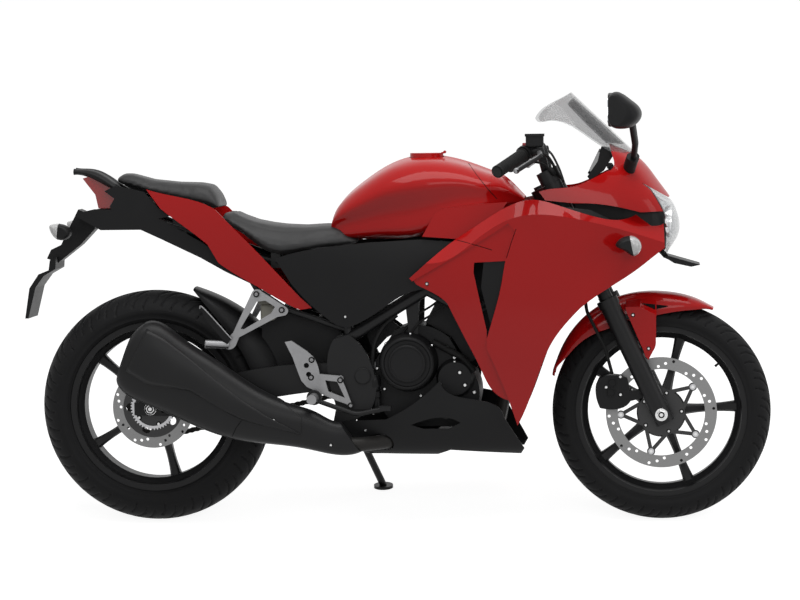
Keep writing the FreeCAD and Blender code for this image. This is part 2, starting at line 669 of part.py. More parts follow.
@lru_cache
def frame():
    """Twin side spars from the head tube to the pivot plates, with the engine hangers."""
    head_low, head_high = fork_at(LOWER_CLAMP_AT + 22, 0, -FORK_OFFSET), fork_at(UPPER_CLAMP_AT - 22, 0, -FORK_OFFSET)
    head = rod(head_low, head_high, HEAD_TUBE_RADIUS)
    w = FRAME_HALF_WIDTH
    top = head_high + (head_low - head_high) * 0.3
    low = head_low + (head_high - head_low) * 0.25
    pieces = [head]
    plate = outline((540, 512), [(575, 480), (604, 420), (612, 380), (598, 312)], (506, 312),
                    [(488, 380), (482, 440), (500, 500)])
    skirt = outline((598, 330), (592, 306), (560, 286), (506, 232), (488, 244), (506, 330))
    for side in (-1, 1):
        pieces.append(bent_tube([vec(top.x, side * 14, top.z), vec(top.x - 110, side * 96, top.z - 24),
                                 vec(745, side * w, 629), vec(532, side * w, 498)], FRAME_TUBE_RADIUS, 70))
        pieces.append(bent_tube([vec(low.x, side * 14, low.z), vec(low.x - 80, side * 88, low.z - 80),
                                 vec(870, side * w, 560), vec(745, side * w, 629)], 13, 60))
        pieces.append(side_prism(plate, side * PLATE_INNER_Y, side * PLATE_OUTER_Y))
        pieces.append(side_prism(skirt, side * (PLATE_INNER_Y - 18), side * (PLATE_INNER_Y + 1)))
        pieces.append(cross_rod(520, 491, side * (w - 10), side * (PLATE_INNER_Y + 2), 20))
        pieces.append(cross_rod(PIVOT_X, PIVOT_Z, side * PLATE_OUTER_Y, side * (PLATE_OUTER_Y + 6), 19))
        pieces.append(bent_tube([vec(540, side * w, 505), vec(SHOCK_TOP_X, side * 104, SHOCK_TOP_Z),
                                 vec(500, side * 100, 722)], 13, 90))
        pieces.append(side_prism(polygon([(690, 594), (728, 612), (724, 500), (700, 500)]), side * 97, side * 105))
    pieces.append(cross_rod(546, 506, -w, w, 14))
    pieces.append(cross_rod(714, 512, -100, 100, 8))
    pieces.append(cross_rod(SHOCK_TOP_X, SHOCK_TOP_Z, -104, 104, SHOCK_PIN_RADIUS))
    pieces.append(cross_rod(500, 720, -100, 100, 13))
    pieces.append(rod(vec(1080, 0, 824), vec(500, 0, 720), BACKBONE_RADIUS))
    for x, low, high in ((700, 750, 800), (896, 790, 850)):
        pieces.append(block(x - 18, x + 18, -22, 22, low, high).cut(fuel_tank()))
    pieces.append(cross_rod(502, 258, -PLATE_INNER_Y, PLATE_INNER_Y, 13))
    pieces.append(cross_rod(PIVOT_X, PIVOT_Z, -PLATE_OUTER_Y, PLATE_OUTER_Y, PIVOT_BOLT_RADIUS))
    axis = (head_high - head_low).normalize()
    bore = rod(head_low - axis * 60, head_high + axis * 60, STEM_RADIUS + SHAFT_GAP)
    return fuse(fuse(*pieces).cut(bore), stand_bracket()).cut(engine())


@lru_cache
def seat_rails():
    """The rear subframe under the seats."""
    pieces = []
    for side in (-1, 1):
        pieces.append(bent_tube([vec(504, side * 101, 700), vec(420, side * 96, 690), vec(300, side * RAIL_Y, 716),
                                 vec(140, side * 60, 778), vec(-110, side * 50, 852)], RAIL_RADIUS, 90))
        pieces.append(bent_tube([vec(545, side * 112, 520), vec(362, side * 104, 583), vec(296, side * 102, 627),
                                 vec(226, side * 91, 744)], 9, 30))
        pieces.append(largest(block(330, 356, side * 100, side * 82, 690, 770).cut(rider_seat())))
        pieces.append(largest(block(-72, -50, side * 46, side * 58, 840, 905).cut(grab_rail())))
        pieces.append(largest(block(60, 84, side * 50, side * 64, 795, 905).cut(pillion_seat())))
    for x, z, y in ((400, 693, 92), (92, 781, TRAY_HALF - 4 - SEAT_GAP)):
        pieces.append(cross_rod(x, z, -y, y, 9))
    return largest(fuse(*pieces).cut(frame()))


@lru_cache
def engine():
    """Crankcase with its side covers and sump, closed inside, its left rear open for the chain."""
    case = outline((608, 440), [(608, 372), (634, 292), (700, 262)], (800, 262), [(872, 296), (884, 372), (850, 424)],
                   (806, 500), [(740, 532), (660, 520)])
    pieces = [side_prism(case, -96, 68)]
    pieces.append(side_prism(outline((700, 500), (820, 490), [(872, 400), (850, 300), (790, 276)], (700, 276)), 68, 104))
    cover = (697, 435)
    pieces.append(cone(vec(cover[0], -96, cover[1]), vec(cover[0], -150, cover[1]), 80, 71))
    pieces.append(cross_rod(cover[0], cover[1], -150, -160, 50))
    pieces.append(cone(vec(822, -96, 392), vec(822, -128, 392), 52, 44))
    pieces.append(cone(vec(806, 104, 392), vec(806, 146, 392), 74, 64))
    pieces.append(cross_rod(806, 392, 146, 152, 42))
    pieces.append(cross_rod(690, 470, 104, 116, 24))
    shield = outline((640, 360), [(618, 372), (613, 408), (620, 444), (650, 458)], (702, 452), (702, 352))
    pieces.append(side_prism(shield, CHAIN_Y + 12, CHAIN_Y + 26))
    pieces.append(toothed(vec(DRIVE_SPROCKET_X, 0, DRIVE_SPROCKET_Z), DRIVE_TEETH, CHAIN_Y, 8, SEAT_GAP))
    pieces.append(cross_rod(DRIVE_SPROCKET_X, DRIVE_SPROCKET_Z, 60, CHAIN_Y + 12, 15))
    return fuse(*pieces)


@lru_cache
def cylinder():
    """The forward-leaning twin cylinder block, head and cam cover."""
    block_line = outline((742, 540), (812, 500), (858, 425), (905, 470), (938, 590), (800, 650))
    head_line = outline((798, 652), (938, 592), (962, 640), (958, 676), (850, 722), (812, 690))
    pieces = [side_prism(block_line, -76, 76), side_prism(head_line, -84, 84)]
    for y in (-42, 42):
        pieces.append(rod(vec(805, y, 640), vec(735, y, 668), 25))
    return fuse(*pieces).cut(engine())


def radiator():
    """The core with its side tanks and filler neck, leaning with the front of the engine."""
    line = outline((1012, 436), (1036, 432), (1060, 640), (1036, 644))
    core = side_prism(line, -132, 132)
    tanks = side_prism(outline((1008, 430), (1040, 425), (1066, 646), (1032, 651)), 132, 150)
    neck = rod(vec(1049, -120, 640), vec(1052, -120, 668), 15)
    lug = rod(vec(1046, 96, 640), vec(1036, 90, 700), 7).cut(frame())
    lug = max(lug.Solids, key=lambda piece: -piece.BoundBox.ZMin)
    return fuse(core, tanks, mirrored(tanks), neck, lug, mirrored(lug))


def exhaust_pipe():
    """Two headers that join below the engine and run back to the muffler."""
    pieces = []
    for y in (-44, 44):
        pieces.append(bent_tube([vec(930, y, 626), vec(984, y, 614), vec(966, y * 1.1, 420),
                                 vec(926, y * 0.8, 236), vec(780, y * 0.5, 227)], 17, 42))
    pieces.append(link_pipe(LINK_PIPE_RADIUS))
    pieces.append(block(770, 815, -40, 40, 211, 246))
    return fuse(*pieces).cut(cylinder())


def link_pipe(radius):
    """The pipe from the collector to the muffler's front end."""
    points = [vec(800, 0, 227), vec(712, -16, 227), vec(640, -130, 225), vec(570, MUFFLER_Y, 222),
              vec(500, MUFFLER_Y, 224)]
    return bent_tube(points, radius, 40)


MUFFLER_PLAN = [((-34, 520), (-78, 396), 0.86), ((8, 552), (-62, 366), 1.0), ((92, 512), (24, 322), 1.02),
                ((190, 446), (124, 277), 1.0), ((290, 378), (238, 238), 0.94), ((376, 336), (340, 224), 0.80),
                ((450, 312), (440, 209), 0.66), ((519, 283), (574, 203), 0.56)]


def muffler_form(extra):
    """The can and the shield ahead of it, as one swelling body, larger by extra all round."""
    rings = []
    for (x1, z1), (x0, z0), share in MUFFLER_PLAN:
        length = math.dist((x1, z1), (x0, z0))
        dx, dz = extra * (x1 - x0) / length, extra * (z1 - z0) / length
        rings.append(oval((x1 + dx, z1 + dz), (x0 - dx, z0 - dz), MUFFLER_Y, MUFFLER_HALF * share + extra))
    return ring_loft(rings)


def muffler():
    """A can with an upswept end, a raised pointed cover and a shield that runs on to the belly pan."""
    line = outline((419, 254), [(317, 283), (268, 297), (206, 332), (104, 382)], [(74, 384), (30, 392), (-52, 438)],
                   (-42, 470), (-8, 525), (8, 565), (60, 560), (420, 300))
    cover = muffler_form(MUFFLER_COVER).common(side_prism(line, -REACH / 2, MUFFLER_Y + 20))
    mouth = rod(vec(-90, MUFFLER_Y, 436), vec(-20, MUFFLER_Y, 470), 24)
    return fuse(muffler_form(0), cover).cut(mouth).cut(link_pipe(LINK_PIPE_RADIUS))


# Tank, seats and tail

def tank_section(x, top, low, share, knee):
    """A section across the tank: widest at its upper crease, drawn in for the knee below."""
    half, height = TANK_HALF * share, top - low
    side = [(0.46, 0.05), (0.84, 0.17), (1, 0.38), (knee, 0.66), (knee * 0.97, 0.93), (0.62, 1)]
    left = [vec(x, half * across, top - height * fall) for across, fall in side[::-1]]
    right = [vec(p.x, -p.y, p.z) for p in left[::-1]]
    return [vec(x, 0, top)] + right + [vec(x, 0, low)] + left


@lru_cache
def fuel_tank():
    """The red tank between the seat and its front cover."""
    stations = [(493, 814, 782, 0.55, 0.96), (520, 870, 769, 0.68, 0.9), (575, 918, 766, 0.82, 0.86),
                (640, 960, 767, 0.92, 0.84), (713, 984, 770, 0.99, 0.86), (790, 983, 796, 1.0, 0.9),
                (866, 963, 826, 0.96, 0.95), (924, 941, 842, 0.86, 0.98)]
    body = ring_loft([tank_section(*row) for row in stations])
    well = rod(vec(CAP_X, 0, CAP_LOW - 0.3), vec(CAP_X, 0, CAP_TOP + 100), CAP_RADIUS + 1)
    tunnel = rod(vec(1080, 0, 824), vec(500, 0, 720), BACKBONE_RADIUS + SEAT_GAP)
    return body.cut(well).cut(tunnel)


def tank_shrouds():
    """The cover at the tank's front and the plates on its flanks."""
    stations = [(924 + SEAT_GAP, 941, 842, 0.86, 0.98), (956, 926, 850, 0.74, 0.98), (985, 900, 856, 0.60, 0.98),
                (1010, 874, 850, 0.44, 0.98)]
    nose = ring_loft([tank_section(*row) for row in stations])
    line = outline((742, 773), (778, 836), (800, 846), (871, 856), (968, 862), (930, 800), (860, 764))
    plate = side_prism(line, TANK_HALF - 14, TANK_HALF + 1 + PANEL_WALL).cut(fuel_tank()).cut(nose)
    plate = largest(plate)
    return Part.makeCompound([nose, plate, mirrored(plate)])


def cap_hinge():
    return vec(CAP_X + CAP_RADIUS + 3, 0, CAP_TOP + 2)


def fuel_cap():
    """The hinged filler cap, flush in its ring, with its knuckle in front."""
    lid = rod(vec(CAP_X, 0, CAP_LOW), vec(CAP_X, 0, CAP_TOP), CAP_RADIUS - 1)
    hinge = cap_hinge()
    knuckle = cross_rod(hinge.x, hinge.z, -9, 9, 4)
    tongue = block(CAP_X + CAP_RADIUS - 6, hinge.x, -9, 9, CAP_TOP - 2, CAP_TOP + 2)
    return fuse(lid, knuckle, tongue)


@lru_cache
def rider_seat():
    h = SEAT_HALF
    stations = [(200, 842, 800, 0.66), (240, 826, 770, 0.84), (300, 811, 742, 0.98), (370, 800, 735, 1.0),
                (440, 800, 745, 0.88), (490, 803, 760, 0.66)]
    return ring_loft([crowned(x, h * k, top, low, 0.8) for x, top, low, k in stations])


@lru_cache
def pillion_seat():
    h = PILLION_HALF
    stations = [(-98, 940, 926, 0.46), (-60, 943, 908, 0.62), (0, 926, 890, 0.78), (70, 918, 874, 0.90),
                (140, 917, 860, 1.0), (188, 872, 846, 0.96)]
    return ring_loft([crowned(x, h * k, top, low, 0.8) for x, top, low, k in stations])


def side_covers():
    """The black panels below the seat and the tank."""
    h = SIDE_COVER_HALF
    line = outline((345, 716), [(417, 736), (524, 751), (591, 758)], (737, 765), (838, 757), (842, 738), (790, 668),
                   (749, 632), [(682, 614), (642, 588), (588, 553), (534, 530)], (508, 538), [(447, 586), (389, 648)])
    def stations(into):
        plan = ((320, 0.80), (420, 0.90), (520, 0.97), (620, 1.0), (720, 1.0), (860, 0.96))
        return [(x, flank(h * k - into, 0.14, 500, 700, 800, h * k - 16 - into)) for x, k in plan]

    cover = panel(stations(0), 0, PANEL_WALL, line)
    post = boss(524, 600, 120.2, 9, stations(PANEL_WALL / 2))
    return pair(fuse(cover, post))


def tail_cowls():
    """The red panels that rise from the side covers to the tail."""
    line = outline((-8, 904), [(38, 892), (92, 881), (146, 867), (186, 848)], [(212, 821), (252, 781), (305, 727)],
                   (411, 613), (443, 584), (410, 579), [(370, 598), (303, 638), (250, 668), (191, 706)], (178, 728),
                   (162, 755), [(117, 790), (64, 828), (32, 852)])
    def stations(into):
        plan = ((-30, -52), (60, -34), (150, -18), (240, -4), (330, 4), (460, 12))
        return [(x, flank(TAIL_HALF + more - into, 0.10, 560, 800, 920, TAIL_HALF + more - 8 - into))
                for x, more in plan]

    post = boss(252, 734, 91.5, 8, stations(PANEL_WALL / 2))
    return pair(fuse(panel(stations(0), 0, PANEL_WALL, line), post))


@lru_cache
def grab_rail():
    """The black tail top behind the pillion seat, with a grab slot each side."""
    stations = [(-214, 962, 944, 40), (-164, 957, 934, 52), (-116, 934, 910, 60), (-90, 915, 896, 62),
                (-50, 896, 876, 62), (0, 878, 858, 62)]
    return ring_loft([crowned(x, half, top, low, 0.8) for x, top, low, half in stations])


def tail_lamp():
    line = outline((-150, 946), (-188, 934), (-154, 890), (-146, 853), (-106, 853), (-92, 884), (-100, 920))
    return largest(side_prism(line, -44, 44).cut(grab_rail()).cut(tray_outside()).cut(seat_rails()))


TRAY_LOW = [(-199, 832), (-160, 810), (-134, 795), (-25, 795), (29, 770), (137, 718), (204, 680), (285, 641),
            (365, 597)]
TRAY_HIGH = [(372, 612), (300, 660), (210, 712), (140, 760), (40, 818), (-30, 846), (-150, 852), (-196, 842)]


@lru_cache
def tray_outside():
    return side_prism(polygon(TRAY_LOW + TRAY_HIGH), -TRAY_HALF, TRAY_HALF)


def undertray():
    """The tray under the tail, open above, with side walls that rise to the tail top."""
    inside = [(x, z + 4) for x, z in TRAY_LOW] + [(x, z + 40) for x, z in TRAY_HIGH]
    tray = tray_outside().cut(side_prism(polygon(inside), 4 - TRAY_HALF, TRAY_HALF - 4))
    line = polygon([(-122, 900), (-92, 914), (-58, 908), (-14, 897), (26, 852), (54, 831), (20, 824), (-100, 846),
                    (-108, 858), (-95, 880)])
    wall = side_prism(line, TRAY_HALF - 4, TRAY_HALF)
    return fuse(tray, wall, mirrored(wall))


def plate_holder():
    """The arm behind the tray with its blank plate carrier."""
    arm = outline((-160, 830), (-205, 850), (-254, 754), (-282, 741), (-294, 717), (-262, 706), (-200, 754), (-160, 796))
    plate = outline((-262, 722), (-279, 714), (-283, 687), (-311, 676), (-337, 638), (-350, 556), (-341, 556), (-320, 640),
                    (-296, 672), (-264, 690))
    return fuse(side_prism(arm, -28, 28), side_prism(plate, -62, 62)).cut(tray_outside())


def lamp_pod(line, middle, rings, side):
    """A rounded lamp body: its side outline, shrunk about its middle towards both ends."""
    cx, cz = middle
    return ring_loft([[vec(cx + (x - cx) * share, side * y, cz + (z - cz) * share) for x, z in line]
                      for y, share in rings])


def rear_indicators():
    """Two lamps on short stalks beside the plate holder."""
    line = [(-262, 812), (-238, 815), (-212, 803), (-206, 790), (-222, 772), (-240, 772), (-262, 796)]
    rings = ((90, 0.5), (98, 0.86), (118, 1.0), (138, 0.92), (148, 0.6))
    pieces = []
    for side in (-1, 1):
        stalk = rod(vec(-232, side * 28.3, 794), vec(-232, side * 100, 794), 7)
        pieces.append(fuse(lamp_pod(line, (-234, 794), rings, side), stalk))
    return Part.makeCompound(pieces)


def battery_box():
    """The box behind the shock absorber, hung from the rear rails."""
    line = outline((377, 683.7), (444, 683.7), (440, 600), (424, 580), (388, 580), (377, 622))
    return side_prism(line, -80, 80)


def brake_reservoir():
    """The rear brake's fluid cup, behind the right pillion hanger."""
    y = 92.7
    cup = block(298, 338, -y, 30 - y, 548, 592)
    cap = block(294, 342, -y, 32 - y, 592, 602)
    lug = largest(cross_rod(316, 603, 1 - y, -100, 6).cut(seat_rails()))
    return fuse(cup.makeFillet(6, cup.Edges), cap, lug)


# Fairing

def crease_z(x):
    """Height of the sharp line along the fairing's arch."""
    line = [(700, 655), (794, 709), (900, 771), (979, 820), (1060, 831), (1162, 818), (1214, 802), (1292, 781),
            (1400, 742)]
    return along(line, x)


def top_z(x):
    """Height of the fairing's upper edge."""
    line = [(700, 656), (765, 713), (827, 762), (872, 791), (951, 843), (1030, 871), (1096, 857), (1161, 835),
            (1258, 813), (1307, 826), (1400, 812)]
    return along(line, x)


def along(line, x):
    for (x0, z0), (x1, z1) in zip(line, line[1:]):
        if x <= x1:
            return z0 + (z1 - z0) * (x - x0) / (x1 - x0)
    return line[-1][1]


FAIRING_PLAN = [(700, 0.80), (790, 0.89), (880, 0.96), (980, 1.0), (1060, 0.985), (1130, 0.93), (1200, 0.85),
                (1270, 0.74), (1330, 0.635), (1400, 0.50)]


def fairing_stations(layer, into=0.0):
    """Sections of the fairing's outer shell, layer 0, or of the layers that lie behind it."""
    stations = []
    inset = layer * (PANEL_WALL + SEAT_GAP) + into
    for x, k in FAIRING_PLAN:
        half = FAIRING_HALF * k - inset
        crease = crease_z(x) - inset * 0.4
        top = max(top_z(x), crease + 4) + 26
        tuck = FAIRING_TUCK + LAYER_TUCK * layer
        stations.append((x, flank(half, tuck, 230, crease, top, half - 0.9 * (top - crease))))
    return stations


def side_fairings():
    """The outer shells, each with an arm that runs back along the tank."""
    line = outline((709, 664), [(765, 713), (827, 762), (872, 791), (951, 841), (991, 860), (1030, 869)],
                   [(1070, 864), (1096, 856), (1161, 834), (1211, 819), (1258, 812), (1307, 824)], (1380, 800), (1382, 736),
                   [(1346, 709), (1309, 681), (1244, 640), (1196, 610), (1160, 583)],
                   [(1120, 541), (1085, 494), (1053, 423), (1026, 349), (990, 270)],
                   [(966, 345), (941, 411), (912, 477)], (913, 503), [(937, 582), (951, 634), (965, 708), (990, 788)],
                   (974, 808), [(900, 762), (794, 700), (716, 656)])
    return pair(panel(fairing_stations(0), 4, PANEL_WALL, line))


def mid_fairings():
    """The red layer inside the outer shell, with the air outlet cut in it."""
    line = outline((716, 664), [(800, 708), (900, 765), (972, 806)], (1060, 816), (1060, 640), (1010, 420), (975, 335),
                   [(921, 370), (895, 423), (857, 502), (831, 555), (810, 598)], [(792, 614), (753, 635), (727, 648)])
    sheet = panel(fairing_stations(1), 4, PANEL_WALL, line)
    outlet = side_prism(outline((883, 706), (1010, 712), (1000, 560), [(960, 480), (913, 473)], (913, 526), (896, 606),
                                (881, 680)), 0, REACH)
    return pair(sheet.cut(outlet))


def inner_fairings():
    """Black inner panels beside the radiator."""
    line = outline((900, 640), (912, 742), (1000, 800), (1090, 852), (1200, 838), (1262, 806), (1290, 768), (1330, 716),
                   (1180, 612), (1105, 548), (1060, 470), (1010, 420), (940, 470))
    sheet = panel(fairing_stations(2), 4, PANEL_WALL, line).cut(nose_form(0, -SEAT_GAP))
    post = boss(960, 634, 112.5, 9, fairing_stations(2, PANEL_WALL / 2), 4)
    return pair(fuse(sheet, post))


def belly_pan():
    """The pan below the engine, with a slot each side."""
    line = outline((518, 280), (565, 203), (583, 191), (775, 190), (810, 203), (996, 189), (1006, 205), (952, 294),
                   [(949, 305), (878, 339), (786, 391)], [(678, 306), (638, 286)])
    def stations(into):
        rows = []
        for x, k in ((500, 0.80), (620, 0.90), (740, 1.0), (860, 1.0), (960, 0.92), (1020, 0.84)):
            half = BELLY_HALF * k
            points = [(0.55, 186), (0.82, 200), (0.95, 240), (1.0, 300), (1.02, 400)]
            rows.append((x, [(half * share - into, z) for share, z in points]))
        return rows

    side = panel(stations(0), 0, PANEL_WALL, line)
    slot = side_prism(outline((706, 272), [(746, 286), (799, 292), (839, 278)], (806, 262), (740, 262)), 0, REACH)
    side = side.cut(slot)
    keel = side_prism(outline((590, 191), (775, 190), (810, 203), (990, 190), (990, 194), (811, 207), (775, 194),
                              (590, 195)), -0.67 * BELLY_HALF, 0.67 * BELLY_HALF)
    left = boss(800, 296, 104 + SEAT_GAP, 8, stations(PANEL_WALL / 2))
    right = mirrored(boss(800, 296, 96 + SEAT_GAP, 8, stations(PANEL_WALL / 2)))
    return fuse(side, mirrored(side), keel, left, right).cut(link_pipe(LINK_PIPE_RADIUS + PIPE_CLEARANCE))


NOSE_LEVELS = [(700, 1392, 0.66), (740, 1405, 0.82), (790, 1424, 0.95), (830, 1416, 1.0), (872, 1395, 1.0),
               (905, 1371, 0.97), (945, 1342, 0.90), (985, 1300, 0.82), (1030, 1250, 0.76)]
NOSE_SHAPE = [(0, 0), (14, 0.36), (44, 0.66), (110, 0.87), (200, 0.97), (330, 1.0)]


def nose_section(z, tip, flare, wall):
    """A closed wire at height z round the nose: a thin wall, or with no wall all that is inside."""
    h = NOSE_HALF * flare
    left = [(tip - back, h * share) for back, share in NOSE_SHAPE]
    loop = [(x, -y) for x, y in left[:0:-1]] + left
    outer = [vec(x, y, z) for x, y in loop]
    if not wall:
        return Part.Wire([edge(outer), edge([outer[-1], outer[0]])])
    inside = [vec(x, y, z) for x, y in shifted(loop, wall)]
    return Part.Wire([edge(outer), edge([outer[-1], inside[-1]]), edge(inside[::-1]), edge([inside[0], outer[0]])])


def shifted(loop, wall):
    """Points moved square to their line, to its left."""
    inner = []
    for i, (x, y) in enumerate(loop):
        a, b = loop[max(i - 1, 0)], loop[min(i + 1, len(loop) - 1)]
        length = math.dist(a, b)
        inner.append((x - wall * (b[1] - a[1]) / length, y + wall * (b[0] - a[0]) / length))
    return inner


@lru_cache
def nose_form(wall=0.0, inset=0.0):
    """The nose as a wall, or as a full body whose surface lies an inset further in."""
    h_share = 1 - inset / NOSE_HALF
    levels = [nose_section(z, tip - inset, flare * h_share, wall) for z, tip, flare in NOSE_LEVELS]
    return Part.makeLoft(levels, True, False)


LAMP_REAR = [(1350, 888), (1366, 862), (1382, 830), (1388, 796), (1387, 756), (1386, 716)]


def nose_cowl():
    """The cowl over the lamp, from below the screen to the slit above the side fairings."""
    line = outline((1031, 875), [(1068, 893), (1147, 902), (1187, 918), (1227, 938)], (1242, 943),
                   [(1250, 956), (1245, 983), (1240, 1001), (1236, 1012)], (1297, 985), (1330, 985), (1402, 872),
                   (1393, 867), (1322, 909), (1346, 888), [(1362, 862), (1378, 832)], (1318, 831),
                   [(1265, 845), (1213, 854), (1147, 857)], (1068, 866))
    shell = nose_form().common(side_prism(line, -REACH / 2, REACH / 2)).cut(nose_form(0, PANEL_WALL))
    post = cross_rod(1247, 930, 66 + 8 + SEAT_GAP, REACH / 2, 7).common(nose_form(0, PANEL_WALL / 2))
    return fuse(shell, post, mirrored(post))


@lru_cache
def headlamp():
    """The single wide lamp, its lens flush with the nose."""
    face = outline((1327, 905), (1397, 863), (1460, 845), (1460, 716), LAMP_REAR[-1], LAMP_REAR[-2::-1])
    return nose_form().common(side_prism(face, -REACH / 2, REACH / 2))


@lru_cache
def lamp_housing():
    """The black body behind the lens, with its mounting face at the back."""
    edge_line = [(x - SEAT_GAP, z) for x, z in LAMP_REAR]
    line = outline((1280, 880), (1330, 888), (edge_line[0][0] - 3, 884), edge_line[1:], (1310, 730), (1272, 790))
    body = nose_form(0, 12).common(side_prism(line, -REACH / 2, REACH / 2))
    body = body.common(block(1200, 1500, -LAMP_HALF, LAMP_HALF, 700, 900))
    return largest(body.cut(headlamp()).cut(side_fairings()))


def windscreen():
    """The smoked bubble, a thin sheet that wraps back at the sides."""
    up = vec(-0.72, 0, 0.69)
    out = vec(0.69, 0, 0.72)
    base = vec(1310, 0, 984)
    sections = []
    for s, half, depth in ((-10, 112, 56), (60, 120, 66), (120, 126, 80), (180, 128, 100), (272, 127, 130)):
        points = []
        for k in range(-3, 4):
            t = k / 3
            points.append(base + up * s - out * (depth * t * t) + vec(0, half * t, 0))
        inner = [p - out * SCREEN_WALL for p in points]
        sections.append(Part.Wire([edge(points), edge([points[-1], inner[-1]]), edge(inner[::-1]),
                                   edge([inner[0], points[0]])]))
    sheet = Part.makeLoft(sections, True, False)
    line = outline((1303, 990), (1340, 990), (1340, 1150), (1135, 1150), [(1100, 1130), (1059, 1105), (1043, 1083)],
                   [(1048, 1074), (1058, 1071)], [(1109, 1071), (1161, 1044), (1219, 1004)], (1250, 985))
    return largest(sheet.common(side_prism(line, -REACH / 2, REACH / 2)).cut(nose_form()))


def mirror_ring(y, share):
    """The mirror shell's outline, drawn in towards the glass at its back."""
    line = [(1238, 1088), (1238, 1118), (1243, 1141), (1257, 1148), (1292, 1130), (1315, 1110), (1323, 1092),
            (1317, 1071), (1299, 1057), (1268, 1052), (1245, 1060)]
    return [vec(1240 + (x - 1240) * share, y, 1098 + (z - 1098) * (0.55 + 0.45 * share)) for x, z in line]


def mirrors():
    """Two mirrors in rounded shells, on arms from the nose cowl."""
    pieces = []
    for side in (-1, 1):
        rings = ((230, 0.5), (238, 0.8), (256, 0.95), (292, 1.0), (324, 0.94), (344, 0.8), (354, 0.5))
        shell = ring_loft([mirror_ring(side * y, share) for y, share in rings])
        arm = bent_tube([vec(1300, side * 112, 958), vec(1306, side * 180, 1010), vec(1296, side * 262, 1082)], 8, 60)
        base = rod(vec(1284, side * 92, 930), vec(1300, side * 134, 976), 17).cut(nose_form(0, -SEAT_GAP))
        arm = arm.cut(nose_form(0, -SEAT_GAP))
        pieces.append(fuse(shell, arm, largest(base)))
    return Part.makeCompound(pieces)


@lru_cache
def dash():
    line = outline((1178, 925), (1186, 915), (1222, 940), (1246, 978), (1236, 1000), (1216, 1004), (1206, 965))
    return side_prism(line, -76, 76)


def fairing_stay():
    """The tube frame from the head tube that carries the dash, lamp and screen."""
    middle = (LOWER_CLAMP_AT + UPPER_CLAMP_AT) / 2
    head = fork_at(middle, 0, -FORK_OFFSET)
    tube = rod(fork_at(middle - 60, 0, -FORK_OFFSET), fork_at(middle + 60, 0, -FORK_OFFSET), HEAD_TUBE_RADIUS)
    pieces = [rod(head, vec(1238, 0, 868), 11)]
    for side in (-1, 1):
        pieces.append(bent_tube([vec(1238, 0, 868), vec(1250, side * 66, 880), vec(1244, side * 66, 951)], 8, 24))
    pieces.append(cross_rod(1238, 951, -66, 66, 8))
    pieces.append(rod(vec(1238, 0, 868), vec(1300, 0, 836), 10))
    return fuse(*pieces).cut(tube).cut(dash()).cut(lamp_housing())


def plate_bracket():
    """The blank bracket under the lamp that would carry a front plate."""
    line = outline((1378, 708), (1391, 702), (1407, 692), (1452, 682), (1476, 687), (1391, 712))
    arm = side_prism(outline((1330, 760), (1352, 756), (1396, 706), (1380, 704)), -22, 22)
    return fuse(side_prism(line, -70, 70), arm).cut(lamp_housing()).cut(headlamp())


def front_indicators():
    """Two rounded lamps that stand off the fairing's flanks."""
    line = [(1254, 752), (1264, 764), (1282, 772), (1304, 770), (1321, 748), (1316, 730), (1302, 720), (1276, 734)]
    rings = ((194, 0.55), (202, 0.88), (222, 1.0), (242, 0.9), (254, 0.55))
    stalk = cross_rod(1288, 748, 100, 205, 11).cut(filled(fairing_stations(0, -SEAT_GAP), 4))
    return pair(fuse(lamp_pod(line, (1288, 747), rings, 1), stalk))


# Foot controls

def rider_steps():
    """Cast step brackets with lightening holes, and the pegs."""
    line = outline((371, 495), (389, 498), (429, 471), (447, 455), [(458, 432), (463, 409)], (516, 404),
                   [(521, 396), (538, 356), (552, 321)], (494, 343), (428, 375), (414, 391), [(402, 423), (392, 452)])
    pieces = []
    for side in (-1, 1):
        y0, y1 = side * (PLATE_OUTER_Y + 8), side * (PLATE_OUTER_Y + 18)
        plate = side_prism(line, y0, y1)
        holes = [cross_rod(x, z, y0 - 20, y1 + 20, 7) for x, z in ((428, 432), (434, 408))]
        plate = plate.cut(Part.makeCompound(holes))
        window = side_prism(polygon([(478, 392), (510, 388), (530, 345), (486, 362)]), y0 - 20, y1 + 20)
        plate = plate.cut(window)
        posts = [cross_rod(x, z, side * PLATE_OUTER_Y, y0, 8) for x, z in ((518, 396), (536, 334))]
        peg = cross_rod(PEG_X, PEG_Z, y1, side * (PLATE_OUTER_Y + 104), PEG_RADIUS)
        hinge = cross_rod(PEG_X, PEG_Z, y0, side * (PLATE_OUTER_Y + 30), 18)
        pieces.append(fuse(plate, peg, hinge, *posts))
    return Part.makeCompound(pieces)


def pillion_steps():
    """Cast hangers from the subframe, each an open triangle, with folded pegs."""
    line = outline((282, 626), [(288, 633), (298, 635), (309, 629)], (372, 588), [(379, 577), (371, 565)], (350, 561),
                   (246, 507), (236, 484), [(222, 475), (207, 478)], (208, 496), (230, 520))
    window = polygon([(294, 602), (318, 605), (344, 588), (333, 571), (258, 528), (250, 530)])
    pieces = []
    for side in (-1, 1):
        hanger = side_prism(line, side * 128, side * 138).cut(side_prism(window, side * 120, side * 150))
        peg = rod(vec(216, side * 134, 487), vec(156, side * 150, 491), 11)
        bolts = [cross_rod(x, z, side * 104, side * 142, 7) for x, z in ((297, 621), (364, 577))]
        pieces.append(fuse(hanger, peg, *bolts))
    return Part.makeCompound(pieces).cut(seat_rails())


